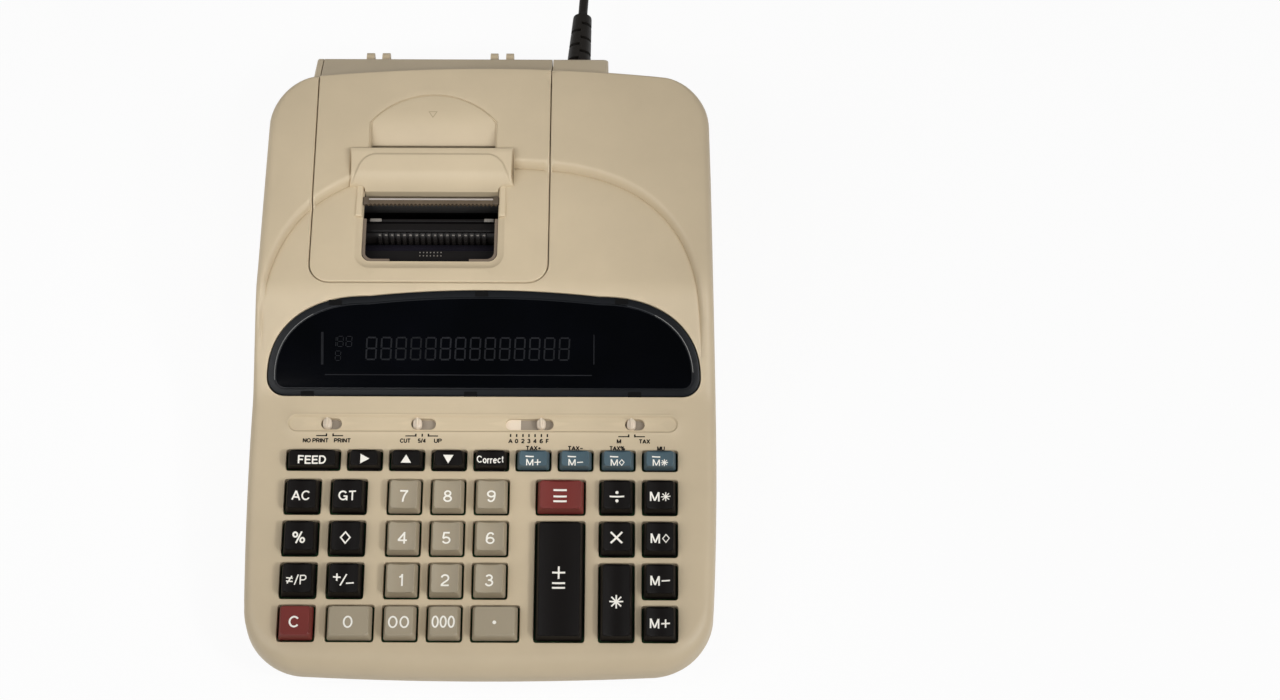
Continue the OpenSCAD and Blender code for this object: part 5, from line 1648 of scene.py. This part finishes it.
# Materials of the nodes that stay as they are
NODE_MATERIALS = {
    "display_tube": M_TUBE, "circuit_boards": M_BOARD, "key_switches": M_SWITCH, "printer_frame": M_FRAME,
    "type_drum": M_DRUM, "feed_roller": M_ROLLER, "ink_roller": M_INK, "screws": M_SCREW, "feet": M_FOOT,
    "tear_bar": M_BAR,
}
for name, material in NODE_MATERIALS.items():
    mesh = frame["nodes"][name].data
    mesh.materials.clear()
    mesh.materials.append(material)


# Inside of the printer

BLOCK_R = 0.12


def put_block(build, lo, hi, number, edge=0.25):
    """A box with its upper edges chamfered."""
    (x0, y0, z0), (x1, y1, z1) = lo, hi
    rings = []
    for e, z in ((0, z0), (0, z1 - edge), (edge, z1)):
        rings.append(stack(*round_rect(x0 + e, y0 + e, x1 - e, y1 - e, BLOCK_R, 2).T, z))
    build.loft(rings, number)


drum_lo, drum_hi = box_mm("type_drum")
DRUM_Y = (drum_lo[1] + drum_hi[1]) / 2 - FRONT
DRUM_Z = (drum_lo[2] + drum_hi[2]) / 2
DRUM_R = (drum_hi[2] - drum_lo[2]) / 2
WHEELS = 18
WHEEL_IN = 6
WHEEL_PITCH = (2 * WINDOW_HALF - 2 * WHEEL_IN) / WHEELS
TYPE_ROWS = 12
TYPE_TURN = 5
TYPE_SIZE = (1.5, 0.9, 0.22)
TYPE_TAPER = 0.8
TYPE_SINK = 0.05


def build_types():
    """Raised type on each wheel of the drum, twelve rows round it."""
    build = Build()
    for row in range(TYPE_ROWS):
        a = math.radians(TYPE_TURN + 360 * row / TYPE_ROWS)
        out = np.array([0, -math.sin(a), math.cos(a)])
        along = np.array([0, math.cos(a), math.sin(a)])
        for wheel in range(WHEELS):
            x = PRINTER_X - WINDOW_HALF + WHEEL_IN + (wheel + 0.5) * WHEEL_PITCH
            foot = np.array([x, DRUM_Y, DRUM_Z]) + out * (DRUM_R - TYPE_SINK)
            rings = []
            for h, k in ((0, 1.0), (TYPE_SIZE[2], TYPE_TAPER)):
                wide, long = np.array([k * TYPE_SIZE[0] / 2, 0, 0]), along * (k * TYPE_SIZE[1] / 2)
                rings.append([foot + out * h + v * long + u * wide for u, v in CORNERS])
            build.loft(rings)
    return build


types = build_types().make("drum_types", [M_TYPE], "type_drum")


# Bars across the window: front, rear, low, high and the chamfer of their edges
GUIDE_HALF = 38
PAPER_BAR = (221.6, 226.4, 58.3, 60.0, 0.6)
PAPER_RIDGE = (227.0, 228.4, 57.9, 60.6, 0.3)
INK_PLATE = (202.4, 211.4, 57.5, 58.1, 0.2)
# Light ends of the ridge, and pegs on the plate
LIGHT_ENDS = ((-31.0, -25.2), (26.2, 31.0))
LIGHT_Y = (226.6, 228.2)
LIGHT_T = 0.8
PEG_AT = (-5.4, 208.4)
PEG_STEP = (1.75, 1.9)
PEGS = (7, 2)
PEG_HALF = 0.28
PEG_H = 0.4


def build_guides():
    """Paper bar over the drum with light ends, and a plate with pegs over the ink roller."""
    build = Build()
    for front, rear, low, high, edge in (PAPER_BAR, PAPER_RIDGE, INK_PLATE):
        x0, x1 = PRINTER_X - GUIDE_HALF, PRINTER_X + GUIDE_HALF
        put_block(build, (x0, front, low), (x1, rear, high), 0, edge)
    z = PAPER_RIDGE[3]
    for lo, hi in LIGHT_ENDS:
        put_block(build, (PRINTER_X + lo, LIGHT_Y[0], z), (PRINTER_X + hi, LIGHT_Y[1], z + LIGHT_T), 1)
    z = INK_PLATE[3]
    for row in range(PEGS[1]):
        for k in range(PEGS[0]):
            x = PRINTER_X + PEG_AT[0] + PEG_STEP[0] * k
            y = PEG_AT[1] + PEG_STEP[1] * row
            lo, hi = (x - PEG_HALF, y - PEG_HALF, z), (x + PEG_HALF, y + PEG_HALF, z + PEG_H)
            put_block(build, lo, hi, 1, 0.1)
    return build


guides = build_guides().make("print_guides", [M_FRAME, M_LIGHT], "base")

bar_lo, bar_hi = box_mm("tear_bar")
TRIM_HALF = 31.0
TRIM_IN = (1.5, 0.7)
TRIM_LIFT = 0.02
TRIM_H = 0.3
END_X = 32.3
END_HALF = 1.3
END_H = 0.7
POST_OUT = 2.1
POST_HALF = 1.6
POST_L = 6.5
POST_H = (-2.5, 1.0)
RAIL_IN = 0.9
RAIL_W = 1.5
RAIL_DROP = (3.6, 2.4)
rail_x, rail_y = WINDOW_HALF - RAIL_IN, WINDOW_Y[0] + RAIL_IN
rail_corner = [tuple(p) for p in arc(rail_x - WINDOW_R, rail_y + WINDOW_R, WINDOW_R, 0, -90, 8)]
RAIL = [(rail_x, rail_y + 23), (rail_x, rail_y + 14)] + rail_corner + [(rail_x - 13, rail_y)]


def put_rail(build, path, number):
    """A rail of square section under the window's edge, along a level path."""
    path = np.array(path)
    rings = []
    for q, v in zip(path, outward(path) * RAIL_W / 2):
        z = float(top_z(*q))
        corners = [(v, RAIL_DROP[0]), (-v, RAIL_DROP[0]), (-v, RAIL_DROP[1]), (v, RAIL_DROP[1])]
        rings.append([(q[0] + c[0], q[1] + c[1], z - drop) for c, drop in corners])
    build.loft(rings, number)


def build_bar_trim():
    """Polished strip along the tear bar, its end blocks and the posts beside it."""
    build = Build()
    y0, y1 = bar_lo[1] - FRONT, bar_hi[1] - FRONT
    top = bar_hi[2]
    lo = (PRINTER_X - TRIM_HALF, y1 - TRIM_IN[0], top + TRIM_LIFT)
    put_block(build, lo, (PRINTER_X + TRIM_HALF, y1 - TRIM_IN[1], top + TRIM_H), 0, 0.1)
    for side in (-1, 1):
        x = PRINTER_X + side * END_X
        put_block(build, (x - END_HALF, y0 + 0.3, top + TRIM_LIFT), (x + END_HALF, y1, top + END_H), 1, 0.2)
        x = PRINTER_X + side * (WINDOW_HALF + POST_OUT)
        z = float(top_z(x, y0))
        lo, hi = (x - POST_HALF, y0 - POST_L, z + POST_H[0]), (x + POST_HALF, WING_Y + 0.5, z + POST_H[1])
        put_block(build, lo, hi, 2, 0.5)
        put_rail(build, [(PRINTER_X + side * x, y) for x, y in RAIL], 3)
    return build


trim = build_bar_trim().make("tear_bar_trim", [M_STRIP, M_BROWN, M_CASE, M_RAIL], "cover")

# Strain relief and plug

RELIEF_AT = np.array([43.6, BLOCK_REAR, 48.0])
RELIEF_TURN = math.radians(3)
RELIEF_L = 37.5
RELIEF_R = 6.4
RELIEF_FALL = 1.5
RELIEF_COLLAR = 3
RELIEF_TIP = 1.2
# Cuts as shares of the length, and the side of each
RELIEF_CUTS = [(0.22, -1), (0.345, 1), (0.463, -1), (0.58, 1), (0.703, -1), (0.825, 1)]
CUT_HALF = 0.85
CUT_STEP = 0.02
CUT_R = 2.9
NECK_R = 3.9
NECK_Y = (-4.0, 0.6)


def build_relief():
    """Moulded sleeve with cuts that alternate from side to side."""
    build = Build()
    ahead = np.array([math.sin(RELIEF_TURN), math.cos(RELIEF_TURN), 0])
    side = np.array([math.cos(RELIEF_TURN), -math.sin(RELIEF_TURN), 0])
    up = np.array([0, 0, 1.0])
    turn = np.linspace(0, 2 * math.pi, 41)[:-1]

    def circle(at, r):
        return at + (r * np.cos(turn))[:, None] * side + (r * np.sin(turn))[:, None] * up

    def ring(t, cut):
        r = RELIEF_R - RELIEF_FALL * np.clip((t - RELIEF_COLLAR) / (RELIEF_L - RELIEF_COLLAR), 0, 1)
        return circle(RELIEF_AT + t * ahead, np.where(np.cos(turn) * cut > 0.05, CUT_R, r))

    stations = [(0.35, 0), (2.0, 0)]
    for share, way in RELIEF_CUTS:
        t0, t1 = share * RELIEF_L - CUT_HALF, share * RELIEF_L + CUT_HALF
        stations += [(t0, 0), (t0 + CUT_STEP, way), (t1 - CUT_STEP, way), (t1, 0)]
    last = RELIEF_L - RELIEF_TIP
    rings = [ring(t, cut) for t, cut in stations + [(last, 0)]]
    centre = RELIEF_AT + last * ahead
    for t, share in ((0.9, 0.97), (RELIEF_TIP, 0.88)):
        rings.append(centre + t * ahead + (ring(last, 0) - centre) * share)
    build.loft(rings)
    build.loft([circle(RELIEF_AT + np.array([0, t, 0]), NECK_R) for t in NECK_Y])
    return build


relief = build_relief().make("strain_relief_sleeve", [M_CORD], "base")
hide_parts("strain_relief")

PLUG_AT = np.array([-50.0, 319.0 - FRONT, 7.0])
# Sections of the plug: distance from the cord, width, height and corner radius
PLUG_SECTIONS = [
    (0, 8, 8, 3.9), (2, 9, 9, 4), (5, 11, 10.5, 4), (12, 13, 12, 4), (22, 14, 12.8, 4), (25, 18, 13, 4),
    (27, 24, 13, 4), (29, 26, 13, 4), (34, 26, 13, 4), (35.5, 25.2, 12.4, 3.8), (36, 24, 11.2, 3.2)]
PIN_GAP = 19
# Sleeve and tip of a pin: distances from the plug's face and radii
PIN_PARTS = [[(-0.5, 2.0), (9, 2.0), (9.2, 1.8)], [(8.8, 1.85), (17.6, 1.85), (18.6, 1.3), (19, 0.7)]]


def build_plug():
    """Plain plug with two pins that are sleeved at their roots."""
    build = Build()
    rings = []
    for back, wide, high, r in PLUG_SECTIONS:
        o = round_rect(-wide / 2, -high / 2, wide / 2, high / 2, r, 5)
        rings.append([PLUG_AT + np.array([-back, a, b]) for a, b in o])
    build.loft(rings)
    circle = arc(0, 0, 1, 0, 360, 20)[:-1]
    for side in (-1, 1):
        centre = PLUG_AT + np.array([-PLUG_SECTIONS[-1][0], side * PIN_GAP / 2, 0])
        for number, stations in enumerate(PIN_PARTS):
            rings = [[centre + np.array([-t, a * r, b * r]) for a, b in circle] for t, r in stations]
            build.loft(rings, number)
    return build


plug = build_plug().make("mains_plug", [M_CORD, M_PIN], "base")
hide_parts("plug")


# Mains cord with its coil

CORD_D = 4.8
CORD_ROUTE = [
    (45.7, 196, 48), (46.2, 205, 48), (46.6, 212, 47), (47, 220, 43), (47.4, 227, 37), (47.8, 232.5, 29),
    (48.2, 237, 20), (48.6, 242, 12), (49, 249, 6), (49.5, 258, 3), (50, 266, 2.5), (50, 273, 2.5)]
CORD_TAIL = [
    (8, 319, 18.7), (-2, 319, 18), (-14, 319, 15.5), (-26, 319, 11.5), (-37, 319, 8.3), (-45, 319, 7.2),
    (-50, 319, 7)]
COIL_AT = (16, 285, 2.5)
COIL_R = 34
COIL_TURNS = 9.25
COIL_LAYERS = 4
COIL_PITCH = 5.4
COIL_LIFT = 5.4
LAYER_TURNS = COIL_TURNS / COIL_LAYERS
TURN_STEPS = 24


def step_up(x):
    """Climb of one layer over half a turn."""
    x = min(max(x, -0.25), 0.25)
    return (1 - math.cos(2 * math.pi * (x + 0.25))) / 2


def coil_point(t):
    """Point of the coil after t turns, spiralling in and out again layer by layer."""
    k = math.floor(t / LAYER_TURNS)
    share = t / LAYER_TURNS - k
    share = share if k % 2 == 0 else 1 - share
    r = COIL_R - COIL_PITCH * LAYER_TURNS * share
    lift = sum(step_up(t - n * LAYER_TURNS) for n in range(1, COIL_LAYERS))
    a = 2 * math.pi * t
    return (COIL_AT[0] + r * math.cos(a), COIL_AT[1] + r * math.sin(a), COIL_AT[2] + COIL_LIFT * lift)


def smooth_path(points, per_step):
    """Points along a curve through all the given ones."""
    p = np.array(points, float)
    p = np.concatenate([[2 * p[0] - p[1]], p, [2 * p[-1] - p[-2]]])
    out = []
    for i in range(1, len(p) - 2):
        for k in range(per_step):
            t = k / per_step
            out.append(0.5 * (2 * p[i] + (p[i + 1] - p[i - 1]) * t
                              + (2 * p[i - 1] - 5 * p[i] + 4 * p[i + 1] - p[i + 2]) * t * t
                              + (3 * p[i] - p[i - 1] - 3 * p[i + 1] + p[i + 2]) * t ** 3))
    out.append(p[-2])
    return out


coil = [coil_point(i / TURN_STEPS) for i in range(int(TURN_STEPS * COIL_TURNS) + 1)]
path = np.array(smooth_path(CORD_ROUTE + coil + CORD_TAIL, 3)) * MM
curve = bpy.data.curves.new("mains_cord", "CURVE")
curve.dimensions = "3D"
spline = curve.splines.new("POLY")
spline.points.add(len(path) - 1)
spline.points.foreach_set("co", np.column_stack([path, np.ones(len(path))]).ravel())
curve.bevel_depth = CORD_D / 2 * MM
curve.bevel_resolution = 4
curve.use_fill_caps = True
curve.materials.append(M_CORD)
cord = bpy.data.objects.new("mains_cord", curve)
bpy.context.scene.collection.objects.link(cord)
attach(cord, "base")
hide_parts("cord", "cord_coil")


# Stage, light and camera

FLOOR_HALF = 6
FLOOR_GREY = 0.9
FLOOR_ROUGH = 0.9
FLOOR_GLOW = 0.93


def add_math(tree, operation, clamp=False):
    node = add_node(tree, "Math")
    node.operation = operation
    node.use_clamp = clamp
    return node


def stage_floor():
    """Floor that mostly glows white to the camera, in reflections and through glass."""
    f = FLOOR_HALF
    mesh = bpy.data.meshes.new("floor")
    mesh.from_pydata([(-f, -f, 0), (f, -f, 0), (f, f, 0), (-f, f, 0)], [], [(0, 1, 2, 3)])
    floor = bpy.data.objects.new("floor", mesh)
    bpy.context.scene.collection.objects.link(floor)
    mat, tree, bsdf = new_material("floor_white")
    bsdf.inputs["Base Color"].default_value = (FLOOR_GREY, FLOOR_GREY, FLOOR_GREY, 1)
    bsdf.inputs["Roughness"].default_value = FLOOR_ROUGH
    glow = add_node(tree, "Emission")
    rays = add_node(tree, "LightPath")
    seen = add_math(tree, "ADD")
    either = add_math(tree, "ADD", True)
    share = add_math(tree, "MULTIPLY")
    share.inputs[1].default_value = FLOOR_GLOW
    mix = add_node(tree, "MixShader")
    link(tree, rays, "Is Camera Ray", seen, 0)
    link(tree, rays, "Is Glossy Ray", seen, 1)
    link(tree, seen, 0, either, 0)
    link(tree, rays, "Is Transmission Ray", either, 1)
    link(tree, either, 0, share, 0)
    link(tree, share, 0, mix, 0)
    link(tree, bsdf, 0, mix, 1)
    link(tree, glow, 0, mix, 2)
    link(tree, mix, 0, tree.nodes["Material Output"], 0)
    mesh.materials.append(mat)


def put_lamp(data, at, target, power):
    """A lamp at a place, turned to a target."""
    data.energy = power
    lamp = bpy.data.objects.new(data.name, data)
    lamp.location = at
    lamp.rotation_euler = (Vector(target) - Vector(at)).to_track_quat("-Z", "Y").to_euler()
    bpy.context.scene.collection.objects.link(lamp)


def area_light(name, at, target, power):
    data = bpy.data.lights.new(name, "AREA")
    data.size = LAMP_SIZE
    put_lamp(data, at, target, power)


def spot_light(name, at, target, power):
    data = bpy.data.lights.new(name, "SPOT")
    data.spot_size = SPOT_ANGLE
    data.spot_blend = 1.0
    data.shadow_soft_size = SPOT_SOFT
    put_lamp(data, at, target, power)


WORLD = 0.25
LAMP = 7.8
LAMP_SIZE = 0.85
LAMP_AT = (1.0, -0.45, 1.1)
LAMP_TO = (0, 0, 0.03)
SPOT_ANGLE = math.radians(15)
SPOT_SOFT = 0.1
COVER_SPOT = 16
COVER_SPOT_AT = (0.4, -0.7, 1.1)
COVER_SPOT_TO = (-0.02, 0.065, 0.07)
KEY_SPOT = 26
KEY_SPOT_AT = (0.95, -0.55, 0.95)
KEY_SPOT_TO = (-0.015, -0.08, 0.03)
stage_floor()
world = bpy.data.worlds.new("studio")
bpy.context.scene.world = world
world.use_nodes = True
background = world.node_tree.nodes["Background"]
background.inputs["Color"].default_value = (1, 1, 1, 1)
background.inputs["Strength"].default_value = WORLD
for side, name in ((-1, "left_light"), (1, "right_light")):
    area_light(name, (side * LAMP_AT[0], *LAMP_AT[1:]), LAMP_TO, LAMP)
for side, name in ((-1, "left_spot"), (1, "middle_spot")):
    spot_light(name, (side * COVER_SPOT_AT[0], *COVER_SPOT_AT[1:]), COVER_SPOT_TO, COVER_SPOT)
spot_light("right_spot", KEY_SPOT_AT, KEY_SPOT_TO, KEY_SPOT)

CAMERA_AT = (0.0766, -0.5937, 1.1632)
CAMERA_TILT = math.radians(27.83)
CAMERA_ROLL = math.radians(0.2)
camera_data = bpy.data.cameras.new("camera")
camera_data.lens = 71.91
camera_data.sensor_width = 36
camera_data.clip_start = 0.05
camera = bpy.data.objects.new("camera", camera_data)
camera.location = CAMERA_AT
roll_y, roll_z = -CAMERA_ROLL * math.sin(CAMERA_TILT), CAMERA_ROLL * math.cos(CAMERA_TILT)
camera.rotation_euler = (CAMERA_TILT, roll_y, roll_z)
bpy.context.scene.collection.objects.link(camera)
bpy.context.scene.camera = camera
bpy.context.scene.view_settings.view_transform = "Standard"
